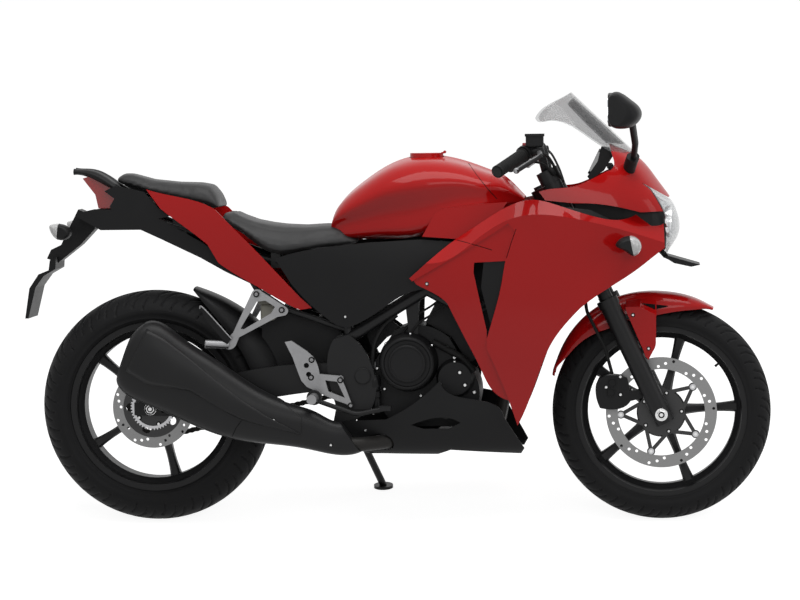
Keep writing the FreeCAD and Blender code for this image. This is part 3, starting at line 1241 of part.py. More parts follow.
def foot_levers():
    """The brake pedal on the right and the gear lever on the left."""
    y = PLATE_OUTER_Y + 38
    x, z = PEG_X, PEG_Z
    pedal = bent_tube([vec(x + 12, -y, z - 10), vec(x + 112, -y, z - 46), vec(x + 192, -y, z - 30)], 6.5, 60)
    pad = block(x + 176, x + 206, -y - 26, -y + 4, z - 34, z - 22)
    lever = bent_tube([vec(x + 12, y, z - 10), vec(x + 112, y, z - 40), vec(x + 176, y, z - 14)], 6, 60)
    toe = cross_rod(x + 176, z - 14, y, y + 40, 9)
    bore = cross_rod(x, z, -y - 40, y + 40, PEG_RADIUS + SEAT_GAP)
    rings = [cross_rod(x, z, side * (y - 6), side * (y + 6), PEG_RADIUS + 7) for side in (-1, 1)]
    return Part.makeCompound([fuse(rings[0], pedal, pad).cut(bore), fuse(rings[1], lever, toe).cut(bore)])


# Fork, bars and front brake

@lru_cache
def fork_legs():
    """The two sliders, joined by the hollow axle."""
    pieces = []
    for side in (-1, 1):
        y = side * FORK_HALF_SPACING
        low = fork_at(-26, y)
        pieces.append(rod(low, fork_at(SLIDER_LENGTH, y), SLIDER_RADIUS))
        pieces.append(rod(fork_at(SLIDER_LENGTH - 12, y), fork_at(SLIDER_LENGTH + 8, y), SLIDER_RADIUS + 3))
        inner = FRONT_HUB_HALF if side > 0 else -FRONT_DISC_Y + 4
        pieces.append(cross_rod(FRONT_X, FRONT_Z, side * (inner + SEAT_GAP), side * FORK_HALF_SPACING, COLLAR_RADIUS))
        for up in FENDER_LUGS_AT:
            lug = fork_at(up, 0, FENDER_LUG_AHEAD)
            pieces.append(cross_rod(lug.x, lug.z, side * 80, side * (FENDER_PLATE_Y - SEAT_GAP), 8))
            pieces.append(rod(fork_at(up, side * 92, SLIDER_RADIUS - 4), fork_at(up, side * 92, FENDER_LUG_AHEAD), 7))
    pieces.append(cross_rod(FRONT_X, FRONT_Z, -FORK_HALF_SPACING - 36, FORK_HALF_SPACING + 36, AXLE_RADIUS))
    whole = fuse(*pieces)
    tube_bores = [rod(fork_at(60, side * FORK_HALF_SPACING), fork_at(SLIDER_LENGTH + 30, side * FORK_HALF_SPACING),
                      FORK_TUBE_RADIUS + SHAFT_GAP) for side in (-1, 1)]
    hollow = cross_rod(FRONT_X, FRONT_Z, -FORK_HALF_SPACING - 40, FORK_HALF_SPACING + 40, AXLE_BORE_RADIUS)
    return whole.cut(hollow).cut(Part.makeCompound(tube_bores))


def fork_tubes():
    pieces = []
    for side in (-1, 1):
        y = side * FORK_HALF_SPACING
        pieces.append(rod(fork_at(64, y), fork_at(FORK_TUBE_TOP, y), FORK_TUBE_RADIUS))
    return Part.makeCompound(pieces)


def clamp_plate(up):
    """One fork yoke: two split eyes joined to the stem's boss."""
    low, high = up - CLAMP_THICKNESS / 2, up + CLAMP_THICKNESS / 2
    eye = FORK_TUBE_RADIUS + CLAMP_WALL
    pieces = [rod(fork_at(low, 0, -FORK_OFFSET), fork_at(high, 0, -FORK_OFFSET), 26)]
    for side in (-1, 1):
        y = side * FORK_HALF_SPACING
        pieces.append(rod(fork_at(low, y), fork_at(high, y), eye))
        bridge = [fork_at(low, side * 4, -FORK_OFFSET - 24), fork_at(low, side * 4, -FORK_OFFSET + 24),
                  fork_at(low, y, 20), fork_at(low, y, -22)]
        face = Part.Face(Part.makePolygon(bridge + bridge[:1]))
        pieces.append(face.extrude(fork_at(high) - fork_at(low)))
    whole = fuse(*pieces)
    bores = [rod(fork_at(low - 5, side * FORK_HALF_SPACING), fork_at(high + 5, side * FORK_HALF_SPACING),
                 FORK_TUBE_RADIUS + SHAFT_GAP) for side in (-1, 1)]
    return whole.cut(Part.makeCompound(bores))


def triple_clamps():
    """Both yokes with the steering stem between them, bored for a stand below."""
    stem = rod(fork_at(LOWER_CLAMP_AT - CLAMP_THICKNESS / 2, 0, -FORK_OFFSET),
               fork_at(UPPER_CLAMP_AT + CLAMP_THICKNESS / 2 + 8, 0, -FORK_OFFSET), STEM_RADIUS)
    bore = rod(fork_at(LOWER_CLAMP_AT - CLAMP_THICKNESS, 0, -FORK_OFFSET),
               fork_at(UPPER_CLAMP_AT + CLAMP_THICKNESS, 0, -FORK_OFFSET), STEM_BORE_RADIUS)
    return fuse(clamp_plate(LOWER_CLAMP_AT), clamp_plate(UPPER_CLAMP_AT), stem).cut(bore)


BAR_INNER = (784, 196, -8)
BAR_OUTER = (768, 342, -104)


def bar_point(place, side):
    up, y, ahead = place
    return fork_at(up, side * y, ahead)


def handlebars():
    """Raised clip-on bars, clamped to the tubes above the upper yoke."""
    pieces = []
    for side in (-1, 1):
        y = side * FORK_HALF_SPACING
        ring = rod(fork_at(UPPER_CLAMP_AT + CLAMP_THICKNESS / 2 + 1, y), fork_at(FORK_TUBE_TOP + 4, y), FORK_TUBE_RADIUS + 8)
        bore = rod(fork_at(UPPER_CLAMP_AT, y), fork_at(FORK_TUBE_TOP + SEAT_GAP, y), FORK_TUBE_RADIUS + SHAFT_GAP)
        arm = bent_tube([fork_at(FORK_TUBE_TOP, y), bar_point((782, 128, 14), side), bar_point(BAR_INNER, side),
                         bar_point(BAR_OUTER, side)], BAR_RADIUS, 26)
        pieces.append(fuse(ring, arm).cut(bore))
    return Part.makeCompound(pieces)


def on_bar(share, side):
    """A point on the straight end of the bar."""
    a, b = bar_point(BAR_INNER, side), bar_point(BAR_OUTER, side)
    return a + (b - a) * share


def grips():
    pieces = []
    for side in (-1, 1):
        sleeve = rod(on_bar(0.22, side), on_bar(0.985, side), GRIP_RADIUS)
        bore = rod(on_bar(0.1, side), on_bar(1.1, side), BAR_RADIUS + SHAFT_GAP)
        pieces.append(sleeve.cut(bore))
    return Part.makeCompound(pieces)


def hand_controls():
    """Switch housings, levers and the brake fluid reservoir."""
    pieces = []
    for side in (-1, 1):
        along_bar = (on_bar(1, side) - on_bar(0, side)).normalize()
        ahead = (along_bar.cross(vec(0, 0, 1)) * (1 if side < 0 else -1)).normalize()
        if ahead.x < 0:
            ahead = ahead * -1
        housing = rod(on_bar(0.06, side), on_bar(0.21, side), 21)
        bore = rod(on_bar(-0.02, side), on_bar(0.4, side), BAR_RADIUS + SHAFT_GAP)
        perch = rod(on_bar(0.1, side), on_bar(0.1, side) + ahead * 44, 11)
        lever = bent_tube([on_bar(0.1, side) + ahead * 40, on_bar(0.3, side) + ahead * 62,
                           on_bar(0.97, side) + ahead * 56], 5.5, 20)
        pieces.append(fuse(housing, perch, lever).cut(bore))
    at = on_bar(0.17, -1)
    cup = block(at.x + 4, at.x + 50, at.y - 14, at.y + 26, at.z + 16, at.z + 48)
    cup = cup.makeFillet(5, cup.Edges)
    lid = block(at.x + 2, at.x + 52, at.y - 16, at.y + 28, at.z + 44, at.z + 51)
    foot = rod(at + vec(26, 6, 19), at + vec(12, 0, 2), 9)
    bore = rod(on_bar(-0.05, -1), on_bar(0.3, -1), BAR_RADIUS + SHAFT_GAP)
    pieces[0] = fuse(pieces[0], cup, lid, foot).cut(bore)
    return Part.makeCompound(pieces)


FENDER_PLAN = [(63, 40, 312, 305), (70, 54, 315, 292), (77, 64, 318, 279), (85, 68, 320, 268), (94, 69, 323, 260),
               (106, 69, 327, 260), (118, 69, 328, 262), (130, 69, 326, 276), (141, 66, 321, 287),
               (152, 62, 314, 297), (161, 54, 309, 302)]


def guard_section(centre, angle, half, crown, low):
    """A thin arched section of a mudguard at an angle round its wheel."""
    arch = [(0.42, 0.04), (0.78, 0.22), (0.96, 0.52), (1, 1)]
    right = [(half * share, crown - (crown - low) * fall) for share, fall in arch]
    outer = [(-y, r) for y, r in right[::-1]] + [(0, crown)] + right
    outside = [around(centre, angle, r, y) for y, r in outer]
    inside = [around(centre, angle, r, y) for y, r in shifted(outer, -PANEL_WALL)]
    return Part.Wire([edge(outside), edge([outside[-1], inside[-1]]), edge(inside[::-1]), edge([inside[0], outside[0]])])


def front_fender():
    """The mudguard over the front tyre, with a shoulder and a bolted plate each side."""
    guard = Part.makeLoft([guard_section(FRONT_AXLE, *row) for row in FENDER_PLAN], True, False)
    plate = outline((1277, 578), (1316, 579), (1358, 556), (1357, 489), [(1355, 472), (1350, 462)], (1337, 438),
                    (1329, 446), (1324, 462), (1281, 562))
    plate = side_prism(plate, FENDER_PLATE_Y, FENDER_PLATE_Y + PANEL_WALL)
    shoulder = []
    for x, z_in, z_out in ((1277, 593, 578), (1316, 600, 579), (1359, 602, 556)):
        corners = [vec(x, FENDER_SHOULDER_Y, z_in), vec(x, FENDER_PLATE_Y + PANEL_WALL, z_out),
                   vec(x, FENDER_PLATE_Y + PANEL_WALL, z_out - PANEL_WALL), vec(x, FENDER_SHOULDER_Y, z_in - PANEL_WALL)]
        shoulder.append(Part.makePolygon(corners + corners[:1]))
    roof = Part.makeLoft(shoulder, True, True)
    inside = Part.makeLoft([fender_filling(*row) for row in FENDER_PLAN], True, False)
    wing = fuse(plate, roof).cut(inside)
    wing = largest(wing)
    return fuse(guard, wing, mirrored(wing))


def fender_filling(angle, half, crown, low):
    """A closed section just inside the mudguard's wall."""
    share = 1 - PANEL_WALL / 2 / half
    arch = [(0.42, 0.04), (0.78, 0.22), (0.96, 0.52), (1, 1)]
    right = [(half * share * across, crown - 1.5 - (crown - low) * fall) for across, fall in arch]
    points = [around(FRONT_AXLE, angle, r, y) for y, r in [(-y, r) for y, r in right[::-1]] + [(0, crown - 1.5)] + right]
    return Part.Wire([edge(points), edge([points[-1], points[0]])])


def front_caliper():
    """The caliper behind the right slider, straddling the disc."""
    line = outline((1204, 386), [(1240, 396), (1280, 386)], (1292, 334), [(1274, 312), (1236, 304), (1207, 308)],
                   [(1196, 344), (1196, 368)])
    dx, dz = FRONT_X - 1370, FRONT_Z - 293
    body = side_prism(line, FRONT_DISC_Y - 32, FRONT_DISC_Y + 17)
    body.translate(vec(dx, 0, dz))
    slot = cross_rod(FRONT_X, FRONT_Z, FRONT_DISC_Y - DISC_THICKNESS / 2 - PAD_GAP,
                     FRONT_DISC_Y + DISC_THICKNESS / 2 + PAD_GAP, FRONT_DISC_RADIUS + RUNNING_GAP)
    arm = strut(fork_at(80, 0, -70), fork_at(66, 0, 0), 13, FRONT_DISC_Y - 32, FRONT_DISC_Y - 18)
    arm = arm.cut(rod(fork_at(-60, -FORK_HALF_SPACING), fork_at(SLIDER_LENGTH, -FORK_HALF_SPACING),
                      SLIDER_RADIUS + SEAT_GAP))
    return fuse(body.cut(slot), max(arm.Solids, key=lambda piece: piece.BoundBox.XMin * -1))


def brake_hose():
    """The hose from the caliper up to the lower yoke."""
    y = FRONT_DISC_Y - 30
    route = [vec(1240, y + 6, 399), vec(1222, y - 12, 470), fork_at(330, y - 4, -62),
             fork_at(LOWER_CLAMP_AT - CLAMP_THICKNESS / 2 - 2.2, -70, -14)]
    return bent_tube(route, 4.5, 60)


# Side stand

def side_stand():
    """The leg, hinged low on the left, its foot flat on the ground."""
    pivot = vec(STAND_PIVOT_X, STAND_PIVOT_Y, STAND_PIVOT_Z)
    foot = vec(STAND_FOOT_X, STAND_FOOT_Y, ground_z(STAND_FOOT_Y))
    pad = rod(foot, foot + GROUND_NORMAL * STAND_FOOT_THICKNESS, STAND_FOOT_RADIUS)
    leg = rod(pivot, foot + GROUND_NORMAL * (STAND_FOOT_THICKNESS - 2), STAND_LEG_RADIUS)
    leg = leg.common(half_space_above(foot))
    axis = stand_axis()
    knuckle = rod(pivot - axis * 10.5, pivot + axis * 10.5, 16)
    bore = rod(pivot - axis * 60, pivot + axis * 60, STAND_BOLT_RADIUS + SHAFT_GAP)
    return fuse(pad, leg, knuckle).cut(bore)


def half_space_above(foot):
    big = 600
    base = rod(foot, foot + GROUND_NORMAL * big, big)
    return base


def stand_axis():
    """The hinge line, square to the leg and to the length of the bike."""
    down = vec(0, STAND_FOOT_Y - STAND_PIVOT_Y, ground_z(STAND_FOOT_Y) - STAND_PIVOT_Z)
    return vec(1, 0, 0).cross(down).normalize()


def stand_bracket():
    """The fork on the frame that holds the stand's pivot bolt."""
    pivot = vec(STAND_PIVOT_X, STAND_PIVOT_Y, STAND_PIVOT_Z)
    axis = stand_axis()
    pieces = [rod(pivot - axis * 18, pivot + axis * 18, STAND_BOLT_RADIUS)]
    for side in (-1, 1):
        pieces.append(rod(pivot + axis * (side * 11), pivot + axis * (side * 16), 17))
    root = vec(STAND_PIVOT_X - 8, PLATE_INNER_Y - 6, STAND_PIVOT_Z - 6)
    pieces.append(rod(root, pivot - axis * 19, 9))
    pieces.append(rod(pivot - axis * 20, pivot - axis * 11, 9))
    return fuse(*pieces)


def place(shape):
    """Leans a finished piece on the side stand and sets the origin under its middle."""
    leaned = shape.copy()
    leaned.rotate(vec(0, 0, 0), vec(1, 0, 0), -LEAN)
    leaned.translate(vec(-MIDDLE_X, -MIDDLE_Y, TYRE_DROP))
    return leaned


NODES = {
    "front_tyre": lambda: tyre(FRONT_AXLE, FRONT_TYRE_RADIUS, FRONT_TYRE_WIDTH, FRONT_RIM_WIDTH),
    "front_rim": lambda: wheel(FRONT_AXLE, FRONT_RIM_WIDTH, FRONT_HUB_RADIUS, FRONT_HUB_HALF, FRONT_SPOKE_TURN),
    "front_disc": front_disc,
    "rear_tyre": lambda: tyre(REAR_AXLE, REAR_TYRE_RADIUS, REAR_TYRE_WIDTH, REAR_RIM_WIDTH),
    "rear_rim": lambda: wheel(REAR_AXLE, REAR_RIM_WIDTH, REAR_HUB_RADIUS, REAR_HUB_HALF, REAR_SPOKE_TURN),
    "rear_disc": rear_disc,
    "rear_sprocket": rear_sprocket,
    "chain": chain,
    "swingarm": swingarm,
    "hugger": hugger,
    "shock": shock,
    "rear_caliper": rear_brake,
    "frame": frame,
    "seat_rails": seat_rails,
    "engine": engine,
    "cylinder": cylinder,
    "radiator": radiator,
    "exhaust_pipe": exhaust_pipe,
    "muffler": muffler,
    "fuel_tank": fuel_tank,
    "tank_shrouds": tank_shrouds,
    "fuel_cap": fuel_cap,
    "rider_seat": rider_seat,
    "pillion_seat": pillion_seat,
    "side_covers": side_covers,
    "tail_cowls": tail_cowls,
    "grab_rail": grab_rail,
    "tail_lamp": tail_lamp,
    "undertray": undertray,
    "plate_holder": plate_holder,
    "rear_indicators": rear_indicators,
    "battery_box": battery_box,
    "brake_reservoir": brake_reservoir,
    "side_fairings": side_fairings,
    "mid_fairings": mid_fairings,
    "inner_fairings": inner_fairings,
    "belly_pan": belly_pan,
    "nose_cowl": nose_cowl,
    "headlamp": headlamp,
    "lamp_housing": lamp_housing,
    "windscreen": windscreen,
    "mirrors": mirrors,
    "dash": dash,
    "fairing_stay": fairing_stay,
    "plate_bracket": plate_bracket,
    "front_indicators": front_indicators,
    "rider_steps": rider_steps,
    "pillion_steps": pillion_steps,
    "foot_levers": foot_levers,
    "fork_legs": fork_legs,
    "fork_tubes": fork_tubes,
    "triple_clamps": triple_clamps,
    "handlebars": handlebars,
    "grips": grips,
    "hand_controls": hand_controls,
    "front_fender": front_fender,
    "front_caliper": front_caliper,
    "brake_hose": brake_hose,
    "side_stand": side_stand,
}

os.makedirs("parts", exist_ok=True)
for name, make in NODES.items():
    place(make()).exportStep("parts/" + name + ".step")
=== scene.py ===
"""The looks of a parked sport motorcycle: finishes, fine pieces, lights and camera.

Sizes are in millimetres on the upright bike: x forward from the rear axle, y to the rider's left, z up
from the ground. The frame's joints say how the bike leans, and spot() sets every point down by that.
A rod's profile is pairs of a share of its length and a radius.
"""

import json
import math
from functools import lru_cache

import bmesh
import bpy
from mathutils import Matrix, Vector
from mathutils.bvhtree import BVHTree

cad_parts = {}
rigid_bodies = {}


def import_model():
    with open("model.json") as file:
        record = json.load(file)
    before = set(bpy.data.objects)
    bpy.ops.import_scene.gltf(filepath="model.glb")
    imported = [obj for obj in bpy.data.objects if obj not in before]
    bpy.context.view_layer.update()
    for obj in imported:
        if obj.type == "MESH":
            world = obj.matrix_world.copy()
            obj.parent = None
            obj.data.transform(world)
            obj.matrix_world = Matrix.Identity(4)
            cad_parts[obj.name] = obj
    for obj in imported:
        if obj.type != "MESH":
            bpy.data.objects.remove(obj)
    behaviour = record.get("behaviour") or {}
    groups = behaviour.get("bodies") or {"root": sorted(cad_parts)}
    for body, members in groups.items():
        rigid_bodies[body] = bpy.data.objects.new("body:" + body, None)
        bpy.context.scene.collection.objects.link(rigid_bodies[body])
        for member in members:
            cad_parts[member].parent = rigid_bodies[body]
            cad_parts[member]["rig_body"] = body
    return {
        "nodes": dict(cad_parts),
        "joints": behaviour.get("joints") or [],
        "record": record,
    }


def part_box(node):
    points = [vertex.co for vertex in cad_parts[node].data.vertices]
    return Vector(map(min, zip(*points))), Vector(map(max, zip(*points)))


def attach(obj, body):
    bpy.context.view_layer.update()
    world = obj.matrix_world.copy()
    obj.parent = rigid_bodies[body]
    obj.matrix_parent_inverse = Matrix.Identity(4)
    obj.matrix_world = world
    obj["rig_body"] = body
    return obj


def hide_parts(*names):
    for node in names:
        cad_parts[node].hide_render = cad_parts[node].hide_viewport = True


bl_info = {
    "name": "Sport Motorcycle Looks",
    "version": (1, 0, 0),
    "blender": (4, 5, 0),
    "location": "3D View > Sidebar > Motorcycle",
    "description": "Dresses the motorcycle's frame with finishes and fine pieces",
    "category": "Add Mesh",
}

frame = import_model()

# How the bike stands: from the joints and the tyres of the frame
MM = 0.001
JOINTS = {joint["name"]: joint for joint in frame["joints"]}
AHEAD = Vector((1, 0, 0))
ACROSS = Vector(JOINTS["rear_wheel_spin"]["axis"])
UPRIGHT = AHEAD.cross(ACROSS)
REAR_HUB = Vector(JOINTS["rear_wheel_spin"]["pos_m"])
FRONT_HUB = Vector(JOINTS["front_wheel_spin"]["pos_m"])
REAR_TYRE_RADIUS = (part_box("rear_tyre")[1].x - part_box("rear_tyre")[0].x) / 2 / MM
FRONT_TYRE_RADIUS = (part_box("front_tyre")[1].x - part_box("front_tyre")[0].x) / 2 / MM
WHEELBASE = (FRONT_HUB.x - REAR_HUB.x) / MM
GROUND = REAR_HUB - UPRIGHT * REAR_TYRE_RADIUS * MM
BIKE = Matrix.Translation(GROUND) @ Matrix((AHEAD, ACROSS, UPRIGHT)).transposed().to_4x4()
UNLEANED = BIKE.inverted()
SLOTS = {part["node"]: part["material_slot"] for part in frame["record"]["subparts"]}
BODIES = {node: obj["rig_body"] for node, obj in frame["nodes"].items()}
RIGHT, LEFT = -1, 1
BEYOND = 900
SAME_POINT = 0.00001

# The photograph's camera, beside the upright bike: its place in metres
IMAGE_WIDTH = 800
IMAGE_HEIGHT = 600
CAMERA_AT = (1.347, -7.924, 1.105)
CAMERA_RIGHT = (0.99633, 0.08460, -0.01305)
CAMERA_UP = (0.00756, 0.06488, 0.99786)
FOCAL_PIXELS = 2943
SENSOR_MM = 36

# The studio's lamps: place, target and size in metres, and power in watts
LAMPS = {
    "top_softbox": ((0.2, -0.6, 3.8), (0, 0, 0.6), (4.0, 1.8), 84),
    "near_softbox": ((1.0, -4.6, 3.0), (0, 0, 0.6), (3.0, 1.6), 36),
    "front_strip": ((4.0, -1.2, 1.8), (0.4, 0, 0.7), (1.2, 2.4), 14),
}
FLOOR_HALF = 30

# Wheels and brakes
REAR_AXLE = (0, 0, REAR_TYRE_RADIUS)
FRONT_AXLE = (WHEELBASE, 0, FRONT_TYRE_RADIUS)
SPOKES = 5
SPOKE_TURN = 3
BETWEEN_SPOKES = SPOKE_TURN + 180 / SPOKES
FRONT_DISC_FACE = -65
FRONT_BOLT_CIRCLE = 54
BOBBIN_CIRCLE = 108
FRONT_PAD_BAND = 115
REAR_DISC_FACE = -80
REAR_BOLT_CIRCLE = 47
REAR_PAD_BAND = 81

# Screws seen in the photograph: pixels, by the node that holds them
SEEN_SCREWS = {
    "side_covers": ((345.3, 316.6),),
    "mid_fairings": ((427.0, 283.8),),
    "belly_pan": ((365.5, 430.4),),
    "muffler": ((273.7, 420.1), (330.9, 445.0)),
    "front_fender": ((633.0, 315.0), (648.6, 348.5)),
}
SEEN_STEP_BOLTS = {
    "rider_steps": ((340.2, 380.3), (350.7, 405.6), (311.6, 359.9), (311.0, 377.5)),
    "pillion_steps": ((281.7, 310.1), (256.3, 294.3)),
}
SEEN_ENGINE_BOLTS = {
    "engine": ((385.6, 343.6), (377.2, 368.2), (384.6, 388.9), (421.0, 395.6), (431.7, 345.3),
               (410.3, 334.0), (454.5, 362.0), (440.0, 384.0)),
}
SEEN_CALIPER_BOLT = (632.2, 390.3)
SEEN_CASE_BOLTS = ((454.5, 357.3), (461.8, 357.7), (459.8, 372.5), (474.3, 392.1), (447.0, 347.0),
                   (465.0, 385.0), (428.0, 395.0))
CASE_NODES = ("engine", "cylinder", "radiator", "inner_fairings", "mid_fairings", "frame")
RIGHT_SIDE_ONLY = ("muffler", "engine")


# Node trees

class Value:
    """A node's output that sums and products can be written with."""

    def __init__(self, nodes, socket):
        self.nodes = nodes
        self.socket = socket

    def math(self, operation, *values):
        return self.nodes.node("ShaderNodeMath", {"operation": operation}, dict(enumerate(values)))

    def __add__(self, other):
        return self.math("ADD", self, other)

    def __mul__(self, other):
        return self.math("MULTIPLY", self, other)

    def between(self, low, high):
        """0 below low, 1 above high, and smooth between them."""
        return self.nodes.node("ShaderNodeMapRange", {"interpolation_type": "SMOOTHSTEP"},
                               {"Value": self, "From Min": low, "From Max": high})


class Nodes:
    """A node tree whose nodes are added from short calls."""

    def put(self, socket, value):
        if isinstance(value, Value):
            self.tree.links.new(value.socket, socket)
        elif socket.type == "RGBA":
            socket.default_value = (*value[:3], 1)
        else:
            socket.default_value = value

    def node(self, kind, settings=None, sockets=None, output=0):
        """Adds a node with its settings and sockets, and returns one of its outputs."""
        made = self.tree.nodes.new(kind)
        for name, value in (settings or {}).items():
            setattr(made, name, value)
        for name, value in (sockets or {}).items():
            self.put(made.inputs[name], value)
        return Value(self, made.outputs[output])


class Finish(Nodes):
    """A material round one shader, whose sockets are named with underscores for spaces."""

    def __init__(self, name, **sockets):
        self.material = bpy.data.materials.new(name)
        self.material.use_nodes = True
        self.tree = self.material.node_tree
        self.tree.nodes.clear()
        self.shader = self.tree.nodes.new("ShaderNodeBsdfPrincipled")
        self.output = self.tree.nodes.new("ShaderNodeOutputMaterial")
        self.tree.links.new(self.shader.outputs[0], self.output.inputs["Surface"])
        self.set(**sockets)

    def set(self, **sockets):
        for name, value in sockets.items():
            self.put(self.shader.inputs[name.replace("_", " ").title().replace("Ior", "IOR")], value)
        return self

    def place(self, centre=(0, 0, 0), turn=(0, 0, 0), scale=(1, 1, 1)):
        """Object coordinates, centred and turned for a pattern."""
        found = self.node("ShaderNodeTexCoord", output="Object")
        return self.node("ShaderNodeMapping", {"vector_type": "TEXTURE"},
                         {"Vector": found, "Location": centre, "Rotation": turn, "Scale": scale})

    def reach(self, centre):
        """Distance from the axle line through a point."""
        local = self.place(tuple(centre), (math.asin(ACROSS.z), 0, 0))
        flat = self.node("ShaderNodeVectorMath", {"operation": "MULTIPLY"}, {0: local, 1: (1, 0, 1)})
        return self.node("ShaderNodeVectorMath", {"operation": "LENGTH"}, {0: flat}, output="Value")

    def noise(self, scale, detail=2.0, roughness=0.5, at=None):
        sockets = {"Vector": at or self.place(), "Scale": scale, "Detail": detail, "Roughness": roughness}
        return self.node("ShaderNodeTexNoise", {}, sockets)

    def cells(self, scale):
        """Distance from the middle of scattered cells, for grain."""
        return self.node("ShaderNodeTexVoronoi", {"feature": "SMOOTH_F1"},
                         {"Vector": self.place(), "Scale": scale, "Randomness": 1.0})

    def stripes(self, scale, turn):
        return self.node("ShaderNodeTexWave", {"wave_profile": "SIN"},
                         {"Vector": self.place(turn=turn), "Scale": scale})

    def mix(self, share, first, second):
        return self.node("ShaderNodeMix", {"data_type": "RGBA"}, {0: share, 6: first, 7: second}, output=2)

    def drift(self, share, colour, darker, lighter):
        """A base colour that a pattern takes from a darker to a lighter share of itself."""
        return self.set(base_color=self.mix(share, tinted(colour, darker), tinted(colour, lighter)))

    def bump(self, height, depth):
        """Depth in metres for a height that runs from 0 to 1."""
        return self.set(normal=self.node("ShaderNodeBump", {}, {"Height": height, "Distance": depth}))


def tinted(colour, share):
    """A colour made lighter or darker by a share."""
    return tuple(min(1.0, channel * share) for channel in colour[:3])


def colours():
    return bpy.context.scene.moto_colours


def fine_sizes():
    return bpy.context.scene.moto_sizes


# Finishes

def red_paint():
    """Deep gloss red under clear lacquer, with the faintest drift and orange peel."""
    finish = Finish("red_paint", roughness=0.32, coat_weight=0.34, coat_roughness=0.03,
                    specular_ior_level=0.06)
    finish.drift(finish.noise(3.0), colours().paint, 0.92, 1.08)
    finish.bump(finish.noise(260, 2), 0.00003)
    return finish.material


def moulded_plastic(name, colour, roughness, grain, depth):
    """Satin plastic with a fine even grain and slightly uneven sheen."""
    finish = Finish(name, specular_ior_level=0.14)
    haze = finish.noise(9.0, 3)
    finish.drift(haze, colour, 0.8, 1.25)
    finish.set(roughness=haze * 0.14 + (roughness - 0.07))
    finish.bump(finish.cells(grain), depth)
    return finish.material


def black_plastic():
    return moulded_plastic("black_plastic", colours().plastic, 0.44, 900, 0.00006)


def smooth_plastic():
    return moulded_plastic("smooth_plastic", colours().plastic, 0.22, 500, 0.00002)


def pale_plastic():
    """Milky moulded plastic, slightly yellowed."""
    return moulded_plastic("pale_plastic", (0.42, 0.41, 0.35), 0.35, 400, 0.00003)


def black_metal():
    """Satin powder coat."""
    finish = Finish("black_metal", specular_ior_level=0.2)
    drift = finish.noise(14, 3)
    finish.drift(drift, colours().coated_metal, 0.8, 1.3)
    finish.set(roughness=drift * 0.12 + 0.34)
    finish.bump(finish.noise(700, 2), 0.00004)
    return finish.material


def cast_metal(name, colour, metallic, roughness, pits):
    """A sand-cast skin: fine pits and patches of different sheen."""
    finish = Finish(name, metallic=metallic, specular_ior_level=0.2)
    patches = finish.noise(22, 4, 0.6)
    finish.drift(patches, colour, 0.72, 1.2)
    finish.set(roughness=patches * 0.2 + (roughness - 0.1))
    finish.bump(finish.noise(pits, 4, 0.7), 0.0002)
    return finish.material


def black_casting():
    return cast_metal("black_casting", colours().casting, 0.3, 0.5, 420)


def silver_casting():
    return cast_metal("silver_casting", colours().silver, 0.85, 0.42, 380)


def dark_pipe():
    """Heat-darkened steel of the headers."""
    return cast_metal("dark_pipe", (0.02, 0.019, 0.018), 0.5, 0.5, 200)


def brushed_steel(name, tint):
    """Bare steel with fine lines along the bike."""
    finish = Finish(name, metallic=1.0)
    lines = finish.noise(60, 4, 0.6, finish.place(scale=(0.03, 1, 1)))
    finish.drift(lines, tint, 0.75, 1.15)
    finish.set(roughness=lines * 0.2 + 0.24)
    finish.bump(lines, 0.00003)
    return finish.material


def steel():
    return brushed_steel("steel", (0.46, 0.46, 0.47))


def bright_screw():
    return brushed_steel("bright_screw", (0.68, 0.68, 0.68))


def ground_disc(name, centre, band_from):
    """A brake disc: ground in rings where the pads run, coated black on the carrier inside."""
    finish = Finish(name)
    reach = finish.reach(centre)
    rings = finish.node("ShaderNodeCombineXYZ", {}, {"X": reach})
    lines = finish.noise(1500, 2, 0.6, rings)
    band = reach.between(band_from * MM, (band_from + 0.6) * MM)
    worn = finish.mix(lines, (0.15, 0.15, 0.15), (0.27, 0.27, 0.27))
    finish.set(base_color=finish.mix(band, colours().coated_metal, worn))
    finish.set(metallic=band * 0.85)
    finish.set(roughness=lines * 0.2 + 0.3)
    finish.bump(lines * band, 0.00004)
    return finish.material


def front_disc_steel():
    return ground_disc("front_disc_steel", FRONT_HUB, FRONT_PAD_BAND)


def rear_disc_steel():
    return ground_disc("rear_disc_steel", REAR_HUB, REAR_PAD_BAND)


def tyre_rubber():
    """Road rubber: dull and slightly dusty, with a fine grain."""
    finish = Finish("tyre_rubber", specular_ior_level=0.1)
    dust = finish.noise(18, 5, 0.65)
    finish.drift(dust, colours().tyre, 0.75, 1.5)
    finish.set(roughness=dust * 0.2 + 0.5)
    finish.bump(finish.noise(900, 3, 0.7), 0.0001)
    return finish.material


def soft_rubber():
    finish = Finish("soft_rubber", specular_ior_level=0.12)
    dust = finish.noise(40, 3)
    finish.set(base_color=finish.mix(dust, (0.008, 0.008, 0.008), (0.02, 0.02, 0.02)), roughness=0.6)
    finish.bump(finish.cells(1400), 0.00006)
    return finish.material


def seat_vinyl():
    """Grained black vinyl with a soft sheen."""
    finish = Finish("seat_vinyl", specular_ior_level=0.3, sheen_weight=0.05, sheen_roughness=0.5)
    wear = finish.noise(7, 3)
    finish.drift(wear, colours().vinyl, 0.75, 1.3)
    finish.set(roughness=wear * 0.12 + 0.4)
    finish.bump(finish.cells(1100), 0.00016)
    return finish.material


def clear_lens():
    """Moulded clear lens with faint flutes."""
    finish = Finish("clear_lens", base_color=(0.80, 0.82, 0.84), roughness=0.05, alpha=0.28,
                    specular_ior_level=0.8)
    finish.bump(finish.noise(14, 1), 0.0001)
    return finish.material


